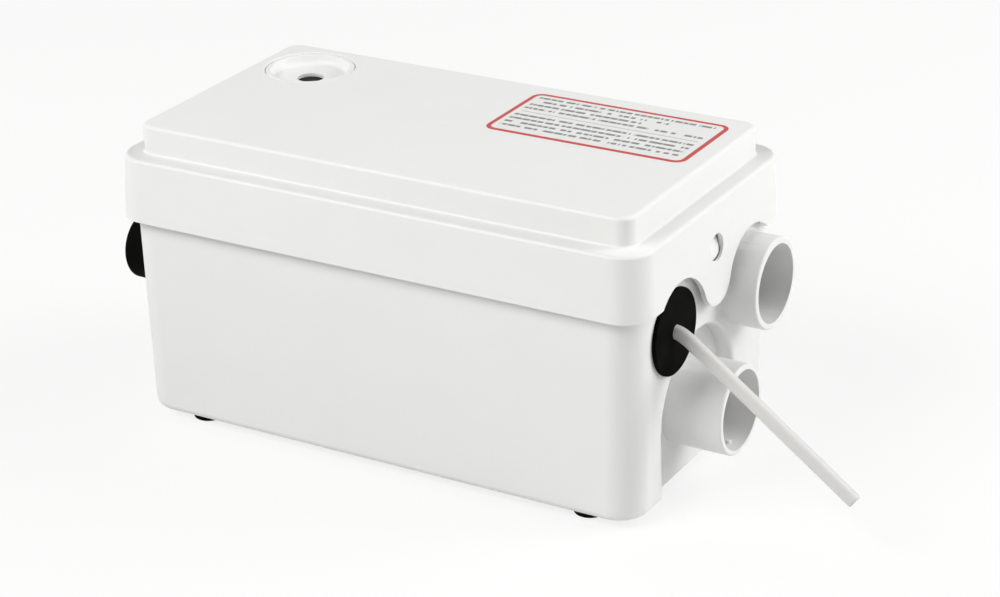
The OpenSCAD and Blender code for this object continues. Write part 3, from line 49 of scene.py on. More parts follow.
# camera, matched to the lid's and tank's edges in the photograph
camera = {
    "place": (677.95, -1102.96, 643.93),
    "right": (0.86639304, 0.49890215, -0.02144144),
    "up": (-0.18681131, 0.36363812, 0.91261649),
    "focal": 98.636,
    "sensor": 36,
}
lens = bpy.data.cameras.new("camera")
lens.lens, lens.sensor_width = camera["focal"], camera["sensor"]
lens.clip_start, lens.clip_end = 0.05, 30
cameraObject = bpy.data.objects.new("camera", lens)
scene.collection.objects.link(cameraObject)
right, up = Vector(camera["right"]).normalized(), Vector(camera["up"]).normalized()
turn = Matrix((right, up, right.cross(up))).transposed().to_4x4()
cameraObject.matrix_world = Matrix.Translation(Vector(camera["place"]) * mm) @ turn
scene.camera = cameraObject
print("camera placed")


# materials

# the mix node's two colour inputs and its colour output
mixInputs, mixOutput = (6, 7), 2
# pattern sizes and depths in millimetres, and how far the roughness strays from its mean
mouldedLook = {"wave": 38, "waveDepth": 0.12, "waveStrength": 0.2, "grainStrength": 0.35, "patch": 9, "spread": 0.05}
metalLook = {"cloud": 14, "markDepth": 0.03, "markStrength": 0.4, "spread": 0.09}


def hexColour(code):
    # sRGB hex to the linear colour that the shaders use
    parts = [int(code[i:i + 2], 16) / 255 for i in (0, 2, 4)]
    return [c / 12.92 if c <= 0.04045 else ((c + 0.055) / 1.055) ** 2.4 for c in parts] + [1]


def addNode(tree, kind, settings=None, links=None):
    # adds one node; a link is named by the input it feeds
    node = tree.nodes.new(kind)
    for key, value in (settings or {}).items():
        if key in node.inputs.keys() or isinstance(key, int):
            node.inputs[key].default_value = value
        else:
            setattr(node, key, value)
    for key, source in (links or {}).items():
        tree.links.new(source, node.inputs[key])
    return node


def startMaterial(name):
    material = bpy.data.materials.new(name)
    material.use_nodes = True
    material.node_tree.nodes.clear()
    return material, material.node_tree


def placeOf(tree):
    return addNode(tree, "ShaderNodeTexCoord").outputs["Object"]


def ramp(tree, source, low, high, dark, light):
    limits = {"From Min": low, "From Max": high, "To Min": dark, "To Max": light}
    return addNode(tree, "ShaderNodeMapRange", limits, {"Value": source}).outputs["Result"]


def noise(tree, place, size, detail=2, rough=0.5):
    # noise whose blobs are about size millimetres across
    settings = {"Scale": 1 / (size * mm), "Detail": detail, "Roughness": rough}
    return addNode(tree, "ShaderNodeTexNoise", settings, {"Vector": place}).outputs["Fac"]


def tint(tree, factor, low, high):
    # a mix of two colours, each a hex code or another node's output
    settings, links = {"data_type": "RGBA"}, {"Factor": factor}
    for key, colour in zip(mixInputs, (low, high)):
        if isinstance(colour, str):
            settings[key] = hexColour(colour)
        else:
            links[key] = colour
    return addNode(tree, "ShaderNodeMix", settings, links).outputs[mixOutput]


def addSurface(material, settings, links):
    tree = material.node_tree
    shader = addNode(tree, "ShaderNodeBsdfPrincipled", settings, links)
    addNode(tree, "ShaderNodeOutputMaterial", None, {"Surface": shader.outputs["BSDF"]})
    return material


def moulded(name, colours, rough, grain, depth, sheen=0.5):
    # a moulded surface: two close shades, a fine grain from the tool's finish, and a slow unevenness
    s = mouldedLook
    material, tree = startMaterial(name)
    place = placeOf(tree)
    slow = noise(tree, place, s["wave"])
    fine = noise(tree, place, grain, 3, 0.6)
    roughness = ramp(tree, noise(tree, place, s["patch"], 4), 0.3, 0.7, rough - s["spread"], rough + s["spread"])
    bump = addNode(tree, "ShaderNodeBump", {"Strength": s["grainStrength"], "Distance": depth * mm},
                   {"Height": fine})
    waves = addNode(tree, "ShaderNodeBump", {"Strength": s["waveStrength"], "Distance": s["waveDepth"] * mm},
                    {"Height": slow, "Normal": bump.outputs["Normal"]})
    return addSurface(material, {"IOR": 1.5, "Specular IOR Level": sheen},
                      {"Base Color": tint(tree, slow, *colours), "Roughness": roughness,
                       "Normal": waves.outputs["Normal"]})


def metal(name, colours, rough, stretch, grain):
    # bare metal: brushing or casting marks, with roughness that varies along them
    s = metalLook
    material, tree = startMaterial(name)
    place = placeOf(tree)
    squeezed = addNode(tree, "ShaderNodeMapping", {"Scale": stretch}, {"Vector": place}).outputs["Vector"]
    marks = noise(tree, squeezed, grain, 4, 0.6)
    clouds = noise(tree, place, s["cloud"], 3)
    roughness = ramp(tree, marks, 0.25, 0.75, rough - s["spread"], rough + s["spread"])
    bump = addNode(tree, "ShaderNodeBump", {"Strength": s["markStrength"], "Distance": s["markDepth"] * mm},
                   {"Height": marks})
    return addSurface(material, {"Metallic": 1},
                      {"Base Color": tint(tree, clouds, *colours), "Roughness": roughness,
                       "Normal": bump.outputs["Normal"]})


# injection-moulded ABS from a finely etched tool: a dull sheen with broad soft highlights
whiteAbs = moulded("whiteAbs", ("EAEAE8", "EDEDEB"), 0.42, 0.5, 0.012)
# the same plastic on the tank, made a touch greyer than the lid's as painted shade, so that its walls, recess and
# bores render darker
tankAbsShadeGreyed = moulded("tankAbsShadeGreyed", ("E8E8E7", "EBEBEA"), 0.45, 0.55, 0.014)
# moulded rubber with a chalky bloom: nearly black with hardly any gloss
blackRubber = moulded("blackRubber", ("040404", "090908"), 0.75, 0.7, 0.03, 0.03)
# extruded flexible PVC: smooth, faintly waxy
cordSheath = moulded("cordSheath", ("D2D1CE", "D7D6D3"), 0.4, 1.2, 0.01)
blackSheath = moulded("blackSheath", ("1E1E1E", "262626"), 0.42, 1.2, 0.01)
# foam rubber gasket with fine closed cells
gasketFoam = moulded("gasketFoam", ("2A2A2A", "343434"), 0.85, 0.4, 0.08, 0.2)
# open-cell filter foam loaded with charcoal
charcoalFoam = moulded("charcoalFoam", ("2C2C2B", "3A3A38"), 0.95, 0.9, 0.5, 0.1)
# filled polypropylene plate
deckPlastic = moulded("deckPlastic", ("CFCFCA", "D5D5D0"), 0.5, 0.6, 0.02)
# grey ABS box
boxPlastic = moulded("boxPlastic", ("A9ACAD", "B1B4B5"), 0.46, 0.5, 0.02)
# glass-filled nylon: dark with a dry, slightly rough skin
filledNylon = moulded("filledNylon", ("2F3133", "383A3C"), 0.52, 0.35, 0.03)
# natural nylon: milky and faintly yellow
naturalNylon = moulded("naturalNylon", ("DEDBD1", "E6E3DA"), 0.4, 0.8, 0.01)
acetal = moulded("acetal", ("C7B88D", "D0C298"), 0.36, 0.8, 0.01)
redPlastic = moulded("redPlastic", ("AE3129", "B93A31"), 0.34, 0.8, 0.01)
siliconeRubber = moulded("siliconeRubber", ("552F2C", "603734"), 0.5, 0.8, 0.02)
canPlastic = moulded("canPlastic", ("E4E4DF", "EAEAE6"), 0.34, 0.9, 0.01)
sealCarbon = moulded("sealCarbon", ("2A2A2C", "38383A"), 0.3, 0.5, 0.01)
sealCeramic = moulded("sealCeramic", ("63483A", "6F5344"), 0.3, 0.5, 0.01)
# die-cast aluminium, shot-blasted
castAluminium = metal("castAluminium", ("BBBDBF", "C6C8CA"), 0.5, (1, 1, 1), 0.5)
# turned and ground stainless steel
groundSteel = metal("groundSteel", ("BFC1C3", "C9CBCD"), 0.28, (1, 1, 12), 0.6)
zincSteel = metal("zincSteel", ("B2B4B5", "BEC0C1"), 0.34, (1, 1, 1), 0.7)
# stacked electrical steel: thin sheets seen on edge
stackedSteel = metal("stackedSteel", ("83868A", "93969A"), 0.45, (0.05, 0.05, 1), 0.6)
# enamelled copper wire laid in rings
copperWire = metal("copperWire", ("A95727", "BC6A35"), 0.3, (1, 1, 1), 1.0)
print("materials made")


# tools for shaping pieces

# segments in a rounded corner of the lid and the tank
cornerSteps = 14


def makeActive(*pieces):
    if bpy.context.object and bpy.context.object.mode != "OBJECT":
        bpy.ops.object.mode_set(mode="OBJECT")
    bpy.ops.object.select_all(action="DESELECT")
    for piece in pieces:
        piece.select_set(True)
    bpy.context.view_layer.objects.active = pieces[0]
    return pieces[0]


def settle(name):
    # names the new primitive and moves its place into its mesh
    piece = bpy.context.object
    piece.name = piece.data.name = name
    bpy.ops.object.transform_apply(location=True, rotation=True, scale=True)
    return piece


def addBox(name, low, high):
    bpy.ops.object.select_all(action="DESELECT")
    centre = [(a + b) / 2 * mm for a, b in zip(low, high)]
    bpy.ops.mesh.primitive_cube_add(size=1, location=centre, scale=[(b - a) * mm for a, b in zip(low, high)])
    return settle(name)


def addRod(name, start, end, radius, endRadius=None, sides=96):
    # a rod or cone from one point to another
    bpy.ops.object.select_all(action="DESELECT")
    a, b = Vector(start) * mm, Vector(end) * mm
    tilt = (b - a).to_track_quat("Z", "Y").to_euler()
    bpy.ops.mesh.primitive_cone_add(vertices=sides, radius1=radius * mm,
                                    radius2=(radius if endRadius is None else endRadius) * mm,
                                    depth=(b - a).length, location=(a + b) / 2, rotation=tilt)
    return settle(name)


def selectIn(piece, kind, test):
    # enters edit mode with what passes the test selected, in millimetres
    makeActive(piece)
    bpy.ops.object.mode_set(mode="EDIT")
    bpy.ops.mesh.select_mode(type=kind)
    bpy.ops.mesh.select_all(action="DESELECT")
    mesh = bmesh.from_edit_mesh(piece.data)
    if kind == "EDGE":
        for edge in mesh.edges:
            edge.select_set(bool(test(edge.verts[0].co / mm, edge.verts[1].co / mm)))
    else:
        for face in mesh.faces:
            face.select_set(bool(test(face.calc_center_median() / mm, face.normal)))
    bmesh.update_edit_mesh(piece.data)


def roundEdges(piece, test, width, steps):
    selectIn(piece, "EDGE", test)
    bpy.ops.mesh.bevel(offset=width * mm, offset_type="OFFSET", segments=steps, profile=0.5, affect="EDGES")
    bpy.ops.object.mode_set(mode="OBJECT")


def resizeFaces(piece, test, factors, centre):
    selectIn(piece, "FACE", test)
    bpy.ops.transform.resize(value=factors, center_override=[c * mm for c in centre])
    bpy.ops.object.mode_set(mode="OBJECT")


def applyModifier(piece, kind, **settings):
    makeActive(piece)
    modifier = piece.modifiers.new("step", kind)
    for key, value in settings.items():
        setattr(modifier, key, value)
    bpy.ops.object.modifier_apply(modifier=modifier.name)
    return piece


def combine(piece, tool, operation):
    applyModifier(piece, "BOOLEAN", operation=operation, solver="EXACT", object=tool)
    bpy.data.objects.remove(tool)
    return piece


def cutOut(piece, tool):
    return combine(piece, tool, "DIFFERENCE")


def mergeWith(piece, tool):
    return combine(piece, tool, "UNION")


def softenEdges(piece, width, steps=2, angle=34):
    return applyModifier(piece, "BEVEL", width=width * mm, segments=steps, limit_method="ANGLE",
                         angle_limit=math.radians(angle), harden_normals=False, miter_outer="MITER_ARC")


def finishPiece(piece, material, body, nodes=(), smooth=32):
    makeActive(piece)
    piece.data.materials.clear()
    piece.data.materials.append(material)
    bpy.ops.object.shade_smooth_by_angle(angle=math.radians(smooth))
    applyModifier(piece, "WEIGHTED_NORMAL", keep_sharp=True, weight=80)
    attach(piece, body)
    if nodes:
        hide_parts(*nodes)
    return piece


def isUpright(a, b):
    # a corner's edge climbs, and drifts only as far as the walls lean
    return abs(a.z - b.z) > 5 and math.hypot(a.x - b.x, a.y - b.y) < 6


def bothAt(axis, value, near=0.02):
    return lambda a, b: abs(a[axis] - value) < near and abs(b[axis] - value) < near


def steppedBlock(name, low, top, corner, step=None):
    # an upright block whose lower face and corners are set, with an optional raised step
    piece = addBox(name, (-top[0], -top[1], low[2]), top)
    resizeFaces(piece, lambda c, n: n.z < -0.9, (low[0] / top[0], low[1] / top[1], 1), (0, 0, low[2]))
    roundEdges(piece, isUpright, corner, cornerSteps)
    if step:
        inset, half = step["inset"], step["half"]
        selectIn(piece, "FACE", lambda c, n: n.z > 0.9)
        bpy.ops.mesh.inset(thickness=inset * mm, depth=0)
        factors = (half[0] / (top[0] - inset), half[1] / (top[1] - inset), 1)
        bpy.ops.transform.resize(value=factors, center_override=(0, 0, top[2] * mm))
        bpy.ops.mesh.extrude_region_move(TRANSFORM_OT_translate={"value": (0, 0, (half[2] - top[2]) * mm)})
        bpy.ops.object.mode_set(mode="OBJECT")
    return piece


# cord: a short pale lead that leaves the grommet and ends cut, as the photograph shows

cord = {
    "radius": 3.6,
    "route": [
        (148.6, -38.5, 93.9), (151.6, -38.7, 93.1), (155, -39, 91.4), (159, -39.4, 88.9),
        (164, -39.8, 85.6), (170, -40.3, 81.6), (176, -40.9, 77.6), (184, -41.6, 72.3),
        (192, -42.3, 67), (200, -43, 61.6), (208, -43.7, 56.2), (216, -44.4, 50.9),
        (224, -45.1, 45.6), (232, -45.8, 40.2), (240, -46.5, 34.8), (246.4, -47, 30.5),
    ],
    "sides": 32, "endRound": 0.9,
    # how far from the cut end's middle its rim lies at most
    "rimReach": 3.7,
}


def smoothRoute(points, steps):
    # curve through the points, the same one that the solid follows
    points = [Vector(p) for p in points]
    last, found = len(points) - 1, []
    for i in range(last):
        a, b = points[max(i - 1, 0)], points[i]
        c, d = points[min(i + 1, last)], points[min(i + 2, last)]
        for k in range(steps):
            t = k / steps
            found.append((2 * b + (c - a) * t + (2 * a - 5 * b + 4 * c - d) * t * t
                          + (3 * b - a - 3 * c + d) * t ** 3) / 2)
    return found + [points[last]]


def addTube(name, points, radius, sides):
    # round tube swept along points in millimetres, with flat ends
    bpy.ops.object.select_all(action="DESELECT")
    shape = bpy.data.curves.new(name, "CURVE")
    shape.dimensions, shape.bevel_depth, shape.use_fill_caps = "3D", radius * mm, True
    shape.bevel_resolution = sides // 2 - 2
    spline = shape.splines.new("POLY")
    spline.points.add(len(points) - 1)
    for point, place in zip(spline.points, points):
        point.co = (*(Vector(place) * mm), 1)
    piece = bpy.data.objects.new(name, shape)
    scene.collection.objects.link(piece)
    makeActive(piece)
    bpy.ops.object.convert(target="MESH")
    bpy.ops.object.mode_set(mode="EDIT")
    bpy.ops.mesh.select_all(action="SELECT")
    bpy.ops.mesh.remove_doubles(threshold=0.01 * mm)
    bpy.ops.mesh.normals_make_consistent(inside=False)
    bpy.ops.object.mode_set(mode="OBJECT")
    piece = bpy.context.object
    # each end becomes one flat face: the fan's centres lie a little nearer than the wall's faces
    for end in (points[0], points[-1]):
        selectIn(piece, "FACE", lambda c, n: (c - end).length < radius * 0.992)
        bpy.ops.mesh.dissolve_faces()
        bpy.ops.object.mode_set(mode="OBJECT")
    return piece


cordPath = smoothRoute(cord["route"], 3)
mainsCord = addTube("mainsCord", cordPath, cord["radius"], cord["sides"])
cutEnd = cordPath[-1]
roundEdges(mainsCord, lambda a, b: max((a - cutEnd).length, (b - cutEnd).length) < cord["rimReach"],
           cord["endRound"], 4)
finishPiece(mainsCord, cordSheath, "tank", ["mains_cord"], 40)


# lid: two tiers, flared skirt, end tongues between scallops, snap holes and the vent's pocket

lid = {
    "low": (152.41, 83.76, 93), "ledge": (150, 81.35, 146.9), "corner": 16.5, "ledgeRound": 1.9,
    "top": (140.35, 71.35, 162.1), "topInset": 8.5, "topRound": 2.2, "footRound": 1.4,
    "wall": 2.5, "innerInset": 9.1, "fit": 0.04, "underZ": 144.4, "edgeRound": 0.45,
    "skirt": {"low": (-170, -100, 80), "high": (170, 100, 113.3)},
    "scallop": {"y": 39, "z": 94, "radius": 27}, "tongue": {"radius": 14.667, "z": 108.667, "joinZ": 103.504},
    "snap": {"z": 123.7, "radius": 7, "channel": (146.88, 149.94), "bottom": 88},
    "vent": {"x": -109.7, "y": 41.2, "pocket": 24.2, "pocketRound": 0.9, "ledgeZ": 154, "floorZ": 148.9,
             "filter": 21.4, "hole": 10.7},
    "gate": {"radius": 2.6, "depth": 0.18},
    # half length of the rods that cut through both ends
    "through": 175,
}


def makeLid():
    s = lid
    wall, through = s["wall"], s["through"]
    low, ledge, top = s["low"], s["ledge"], s["top"]
    shell = steppedBlock("lidShell", low, ledge, s["corner"], {"inset": s["topInset"], "half": top})

    def onStep(p):
        # on the foot of the raised step, or within it
        return abs(p.x) < top[0] + 0.3 and abs(p.y) < top[1] + 0.3

    atLedge = bothAt(2, ledge[2])
    roundEdges(shell, bothAt(2, top[2]), s["topRound"], 5)
    roundEdges(shell, lambda a, b: atLedge(a, b) and not onStep(a) and not onStep(b), s["ledgeRound"], 5)
    roundEdges(shell, lambda a, b: atLedge(a, b) and onStep(a) and onStep(b), s["footRound"], 4)
    inner = steppedBlock("inner", (low[0] - wall + s["fit"], low[1] - wall + s["fit"], low[2] - 1),
                         (ledge[0] - wall, ledge[1] - wall, s["underZ"]), s["corner"] - wall,
                         {"inset": s["innerInset"], "half": [size - wall for size in top]})
    cutOut(shell, inner)
    # the skirt ends higher between the scallops, but for a tongue in the middle
    skirt = addBox("skirt", s["skirt"]["low"], s["skirt"]["high"])
    y, z, radius = [s["scallop"][key] for key in ("y", "z", "radius")]
    tip = s["tongue"]
    tongue = addBox("tongue", (-through - 5, -y, tip["joinZ"]), (through + 5, y, s["skirt"]["high"][2] + 5))
    mergeWith(tongue, addRod("tip", (-through - 5, 0, tip["z"]), (through + 5, 0, tip["z"]), tip["radius"],
                             sides=128))
    cutOut(skirt, tongue)
    cutOut(shell, skirt)
    for side in (-y, y):
        cutOut(shell, addRod("scallop", (-through, side, z), (through, side, z), radius, sides=160))
    snap = s["snap"]
    for side in (-1, 1):
        near, far = sorted(side * x for x in snap["channel"])
        cutOut(shell, addBox("channel", (near, -snap["radius"], snap["bottom"]), (far, snap["radius"], snap["z"])))
    cutOut(shell, addRod("snap", (-through, 0, snap["z"]), (through, 0, snap["z"]), snap["radius"], sides=48))
    v = s["vent"]
    x, y = v["x"], v["y"]
    mergeWith(shell, addRod("boss", (x, y, v["floorZ"] - wall), (x, y, top[2] - wall / 2), v["pocket"] + wall))
    cutOut(shell, addRod("pocket", (x, y, v["ledgeZ"]), (x, y, top[2] + 3), v["pocket"]))
    cutOut(shell, addRod("filterPocket", (x, y, v["floorZ"]), (x, y, v["ledgeZ"] + 1), v["filter"]))
    cutOut(shell, addRod("ventFloor", (x, y, v["floorZ"] - 5), (x, y, v["floorZ"] + 1), v["hole"]))

    def onPocket(p):
        return abs(p.z - top[2]) < 0.02 and abs(math.hypot(p.x - x, p.y - y) - v["pocket"]) < 0.1

    roundEdges(shell, lambda a, b: onPocket(a) and onPocket(b), v["pocketRound"], 4)
    # the mark of the moulding gate in the middle of the top
    cutOut(shell, addRod("gate", (0, 0, top[2] - s["gate"]["depth"]), (0, 0, top[2] + 1), s["gate"]["radius"],
                         sides=40))
    softenEdges(shell, s["edgeRound"])
    return finishPiece(shell, whiteAbs, "lid", ["lid"])


makeLid()
print("lid made")


# tank: leaning walls, arched recess, two pipe sockets, gland seat, snap nubs, posts and the outlet

tank = {
    "low": (145.2, 76.5, 4), "rim": (146.885, 78.185, 141.9), "corner": 16, "footRound": 5, "wall": 3, "floorZ": 7,
    "innerRound": 3.5, "fit": 0.02, "edgeRound": 0.45,
    "recess": {"y": -8, "z": 43, "radius": 39, "x": 137.284, "outX": 185, "bottom": -10,
               "edgeRound": 2.4, "edgeX": 140, "edgeZ": 10},
    "upper": {"y": 39, "z": 92, "radius": 23.8, "bore": 20.5, "from": 138.975, "tip": 164.975},
    "lower": {"y": -8, "z": 43.6, "radius": 23.2, "bore": 20.5, "from": 134.284, "tip": 168.984},
    "waterway": 18.5, "pipeDepth": 24, "rimRound": 1.2,
    "outlet": {"y": -36, "z": 78, "radius": 16, "bore": 13, "from": -138.6, "tip": -166.604},
    "gland": {"y": -38.5, "z": 93.9, "radius": 21, "hole": 16.1, "face": 146.567},
    "snap": {"x": 144, "z": 123.7, "radius": 6.6, "tip": 149.5, "slope": 16},
    "posts": {"x": (20, 108), "y": 64.5, "radius": 5, "bottom": 5.5, "top": 79, "hole": 1.6, "holeZ": 69},
    "ears": {"x": (128.984, 135.784), "z": (64, 71), "apart": 11.8, "half": 1.5},
    "pip": {"x": 161.5, "y": -6.6, "z": (22.2, 24.9), "radii": (1.725, 1.2)},
}


def makeTank():
    s = tank
    wall, low, rim = s["wall"], s["low"], s["rim"]
    shell = steppedBlock("tankShell", low, rim, s["corner"])
    roundEdges(shell, bothAt(2, low[2]), s["footRound"], 7)
    # the walls lean, so the inside is a little wider at the raised floor than at the foot
    drift = wall * (rim[0] - low[0]) / (rim[2] - low[2])
    inner = steppedBlock("inner", (low[0] + drift - wall, low[1] + drift - wall, s["floorZ"]),
                         (rim[0] - wall + s["fit"], rim[1] - wall + s["fit"], rim[2] + 1), s["corner"] - wall)
    roundEdges(inner, bothAt(2, s["floorZ"]), s["innerRound"], 5)
    r = s["recess"]

    def addArch(startX, radius):
        # a passage with a round top, from startX outwards and down through the foot
        arch = addRod("arch", (startX, r["y"], r["z"]), (r["outX"], r["y"], r["z"]), radius, sides=160)
        return mergeWith(arch, addBox("archLegs", (startX, r["y"] - radius, r["bottom"]),
                                      (r["outX"], r["y"] + radius, r["z"])))

    def onArch(p):
        across = abs(p.y - r["y"])
        if p.x < r["edgeX"]:
            return False
        if p.z > r["z"]:
            return abs(math.hypot(across, p.z - r["z"]) - r["radius"]) < 0.3
        return abs(across - r["radius"]) < 0.3 and p.z > r["edgeZ"]

    cutOut(inner, addArch(r["x"] - wall, r["radius"] + wall))
    cutOut(shell, inner)
    cutOut(shell, addArch(r["x"], r["radius"]))
    # soft outer edge of the arch
    roundEdges(shell, lambda a, b: onArch(a) and onArch(b) and abs(a.x - b.x) < 0.6, r["edgeRound"], 4)
    g = s["gland"]
    mergeWith(shell, addRod("glandSeat", (g["face"] - 5, g["y"], g["z"]), (g["face"], g["y"], g["z"]), g["radius"]))
    for name in ("upper", "lower"):
        t = s[name]
        socket = addRod(name, (t["from"], t["y"], t["z"]), (t["tip"], t["y"], t["z"]), t["radius"], sides=128)
        roundEdges(socket, bothAt(0, t["tip"]), s["rimRound"], 4)
        mergeWith(shell, socket)
    t = s["lower"]
    mergeWith(shell, addRod("flapSeat", (t["from"] - 3, t["y"], t["z"]), (t["from"] + 2, t["y"], t["z"]), t["bore"]))
    o = s["outlet"]
    mergeWith(shell, addRod("outlet", (o["from"], o["y"], o["z"]), (o["tip"], o["y"], o["z"]), o["radius"]))
    # the snap nubs slope inwards towards the top, so that the lid rides over them
    n = s["snap"]
    for side in (-1, 1):
        nub = addRod("nub", (side * n["x"], 0, n["z"]), (side * n["tip"], 0, n["z"]), n["radius"], sides=48)
        makeActive(nub)
        bpy.ops.object.mode_set(mode="EDIT")
        bpy.ops.mesh.select_all(action="SELECT")
        tilt = math.radians(n["slope"])
        bpy.ops.mesh.bisect(plane_co=(side * n["tip"] * mm, 0, (n["z"] - n["radius"] * 0.6) * mm),
                            plane_no=(side * math.cos(tilt), 0, math.sin(tilt)), clear_outer=True, use_fill=True)
        bpy.ops.object.mode_set(mode="OBJECT")
        mergeWith(shell, nub)
    p = s["posts"]
    for x in p["x"]:
        for y in (-p["y"], p["y"]):
            mergeWith(shell, addRod("post", (x, y, p["bottom"]), (x, y, p["top"]), p["radius"], sides=40))
            cutOut(shell, addRod("postHole", (x, y, p["holeZ"]), (x, y, p["top"] + 1), p["hole"], sides=24))
    # ears that carry the inlet flap's pin
    e = s["ears"]
    for side in (-1, 1):
        y = t["y"] + side * e["apart"]
        mergeWith(shell, addBox("ear", (e["x"][0], y - e["half"], e["z"][0]), (e["x"][1], y + e["half"], e["z"][1])))
    for name in ("upper", "lower"):
        t = s[name]
        pipeEnd = t["tip"] - s["pipeDepth"]
        cutOut(shell, addRod("bore", (pipeEnd, t["y"], t["z"]), (t["tip"] + 2, t["y"], t["z"]), t["bore"],
                             sides=128))
        cutOut(shell, addRod("way", (t["from"] - 6, t["y"], t["z"]), (pipeEnd + 1, t["y"], t["z"]),
                             s["waterway"]))
    cutOut(shell, addRod("outletBore", (o["from"] + 2, o["y"], o["z"]), (o["tip"] - 2, o["y"], o["z"]), o["bore"]))
    cutOut(shell, addRod("glandHole", (g["face"] - 6, g["y"], g["z"]), (g["face"] + 2, g["y"], g["z"]), g["hole"]))
    # a moulding pip on the lower socket's bore
    q = s["pip"]
    mergeWith(shell, addRod("pip", (q["x"], q["y"], q["z"][0]), (q["x"], q["y"], q["z"][1]), *q["radii"], sides=24))
    softenEdges(shell, s["edgeRound"])
    return finishPiece(shell, tankAbsShadeGreyed, "tank", ["tank"])


makeTank()
print("tank made")


# vent cup: a round dish with a double rim and a hole in its floor

ventCup = {"radius": 23.9, "bottom": 154, "drop": 0.35, "rimRound": 1.1, "dish": (20.1, 21.8), "depth": 5.6,
           "dishRound": 2.6, "hole": 7.1, "edgeRound": 0.5}


def makeVentCup():
    s = ventCup
    x, y, top = lid["vent"]["x"], lid["vent"]["y"], lid["top"][2]
    rim, floor = top - s["drop"], top - s["depth"]
    cup = addRod("ventCup", (x, y, s["bottom"]), (x, y, rim), s["radius"], sides=160)
    roundEdges(cup, bothAt(2, rim), s["rimRound"], 5)
    dish = addRod("dish", (x, y, floor), (x, y, top + 2), *s["dish"], sides=160)
    roundEdges(dish, bothAt(2, floor), s["dishRound"], 8)
    cutOut(cup, dish)
    cutOut(cup, addRod("hole", (x, y, s["bottom"] - 2), (x, y, top), s["hole"]))
    softenEdges(cup, s["edgeRound"], 3)
    return finishPiece(cup, whiteAbs, "vent_cup", ["vent_cup"])


makeVentCup()
print("vent cup made")


# rubber pieces that show outside

grommet = {"radius": 22, "thick": 2, "round": 0.8, "neck": 16, "neckX": 140.567, "barb": 17.2, "barbX": 137.567,
           "sleeveX": (138, 117.5), "sleeve": (9, 5.4), "hole": 3.62, "holeX": 110, "edgeRound": 0.25}
cap = {"radius": 18.16, "inner": 16.06, "open": -146.7, "floorX": -166.7, "tip": -169.104, "round": 1.2,
       "edgeRound": 0.4}
feet = {"x": 114, "y": 62.5, "radii": (8.25, 8.5), "top": 5, "round": 0.9, "dimple": (4.2, 3.6), "dimpleTop": 1.1,
        "edgeRound": 0.25}


def makeGrommet():
    s = grommet
    y, z, back = [tank["gland"][key] for key in ("y", "z", "face")]
    front = back + s["thick"]
    disc = addRod("cordGrommet", (back + 0.02, y, z), (front, y, z), s["radius"], sides=160)
    roundEdges(disc, bothAt(0, front), s["round"], 4)
    mergeWith(disc, addRod("neck", (s["neckX"], y, z), (back + 0.5, y, z), s["neck"]))
    mergeWith(disc, addRod("barb", (s["neckX"], y, z), (s["barbX"], y, z), s["barb"], s["neck"]))
    mergeWith(disc, addRod("sleeve", (s["sleeveX"][0], y, z), (s["sleeveX"][1], y, z), *s["sleeve"]))
    cutOut(disc, addRod("cordHole", (s["holeX"], y, z), (front + 2, y, z), s["hole"], sides=64))
    softenEdges(disc, s["edgeRound"])
    return finishPiece(disc, blackRubber, "tank", ["cord_grommet"])


def makeCap():
    s = cap
    y, z = tank["outlet"]["y"], tank["outlet"]["z"]
    piece = addRod("blankingCap", (s["open"], y, z), (s["tip"], y, z), s["radius"], sides=128)
    roundEdges(piece, bothAt(0, s["tip"]), s["round"], 5)
    cutOut(piece, addRod("inside", (s["open"] + 2, y, z), (s["floorX"], y, z), s["inner"]))
    softenEdges(piece, s["edgeRound"], 3)
    return finishPiece(piece, blackRubber, "blanking_cap", ["blanking_cap"])


def makeFeet():
    s = feet
    found = []
    for x in (-s["x"], s["x"]):
        for y in (-s["y"], s["y"]):
            foot = addRod("foot", (x, y, 0), (x, y, s["top"]), *s["radii"], sides=72)
            roundEdges(foot, bothAt(2, 0), s["round"], 4)
            cutOut(foot, addRod("dimple", (x, y, -1), (x, y, s["dimpleTop"]), *s["dimple"], sides=48))
            softenEdges(foot, s["edgeRound"])
            found.append(foot)
    makeActive(*found)
    bpy.ops.object.join()
    piece = bpy.context.object
    piece.name = piece.data.name = "feetRubber"
    return finishPiece(piece, blackRubber, "tank", ["feet"])


makeGrommet()
makeCap()
makeFeet()
print("rubber pieces made")


# the level switch's spring, a wound wire

spring = {"centre": (66, 38), "low": 94.2, "high": 104.5, "radius": 6, "wire": 0.7, "sides": 12,
          "turns": 4.5, "flatTurns": 0.75, "stepsPerTurn": 28, "creep": 0.001, "travel": 2.5}


def makeSpring():
    s = spring
    x, y = s["centre"]
    low, high = s["low"] + s["wire"], s["high"] - s["wire"]
    # the end turns lie flat, and the pitch opens between them
    points = []
    for k in range(int(s["turns"] * s["stepsPerTurn"]) + 1):
        turn = k / s["stepsPerTurn"]
        share = min(max((turn - s["flatTurns"]) / (s["turns"] - 2 * s["flatTurns"]), 0), 1)
        angle = turn * 2 * math.pi
        points.append(Vector((x + s["radius"] * math.cos(angle), y + s["radius"] * math.sin(angle),
                              low + (high - low) * share + (turn - s["turns"] / 2) * s["creep"])))
    coil = addTube("wireSpring", points, s["wire"], s["sides"])
    finishPiece(coil, groundSteel, "tank", ["switch_spring"], 50)
    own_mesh(coil)


makeSpring()
print("spring made")


# plain label: a white film with a red border and ruled lines, without words

label = {
    "low": (18.6, 3.2), "high": (130.2, 60), "corner": 6, "lift": 0.01, "thick": 0.14, "edgeRound": 0.06,
    "frame": 2.4, "margin": 5, "ruleMargin": 6, "ruleY": 1.5, "ruleHalf": 0.3,
    "row": 5.2, "rowShare": 0.22, "word": 5, "wordGap": 0.05, "rowEnd": 6, "ragged": 60, "stroke": 6.1,
}


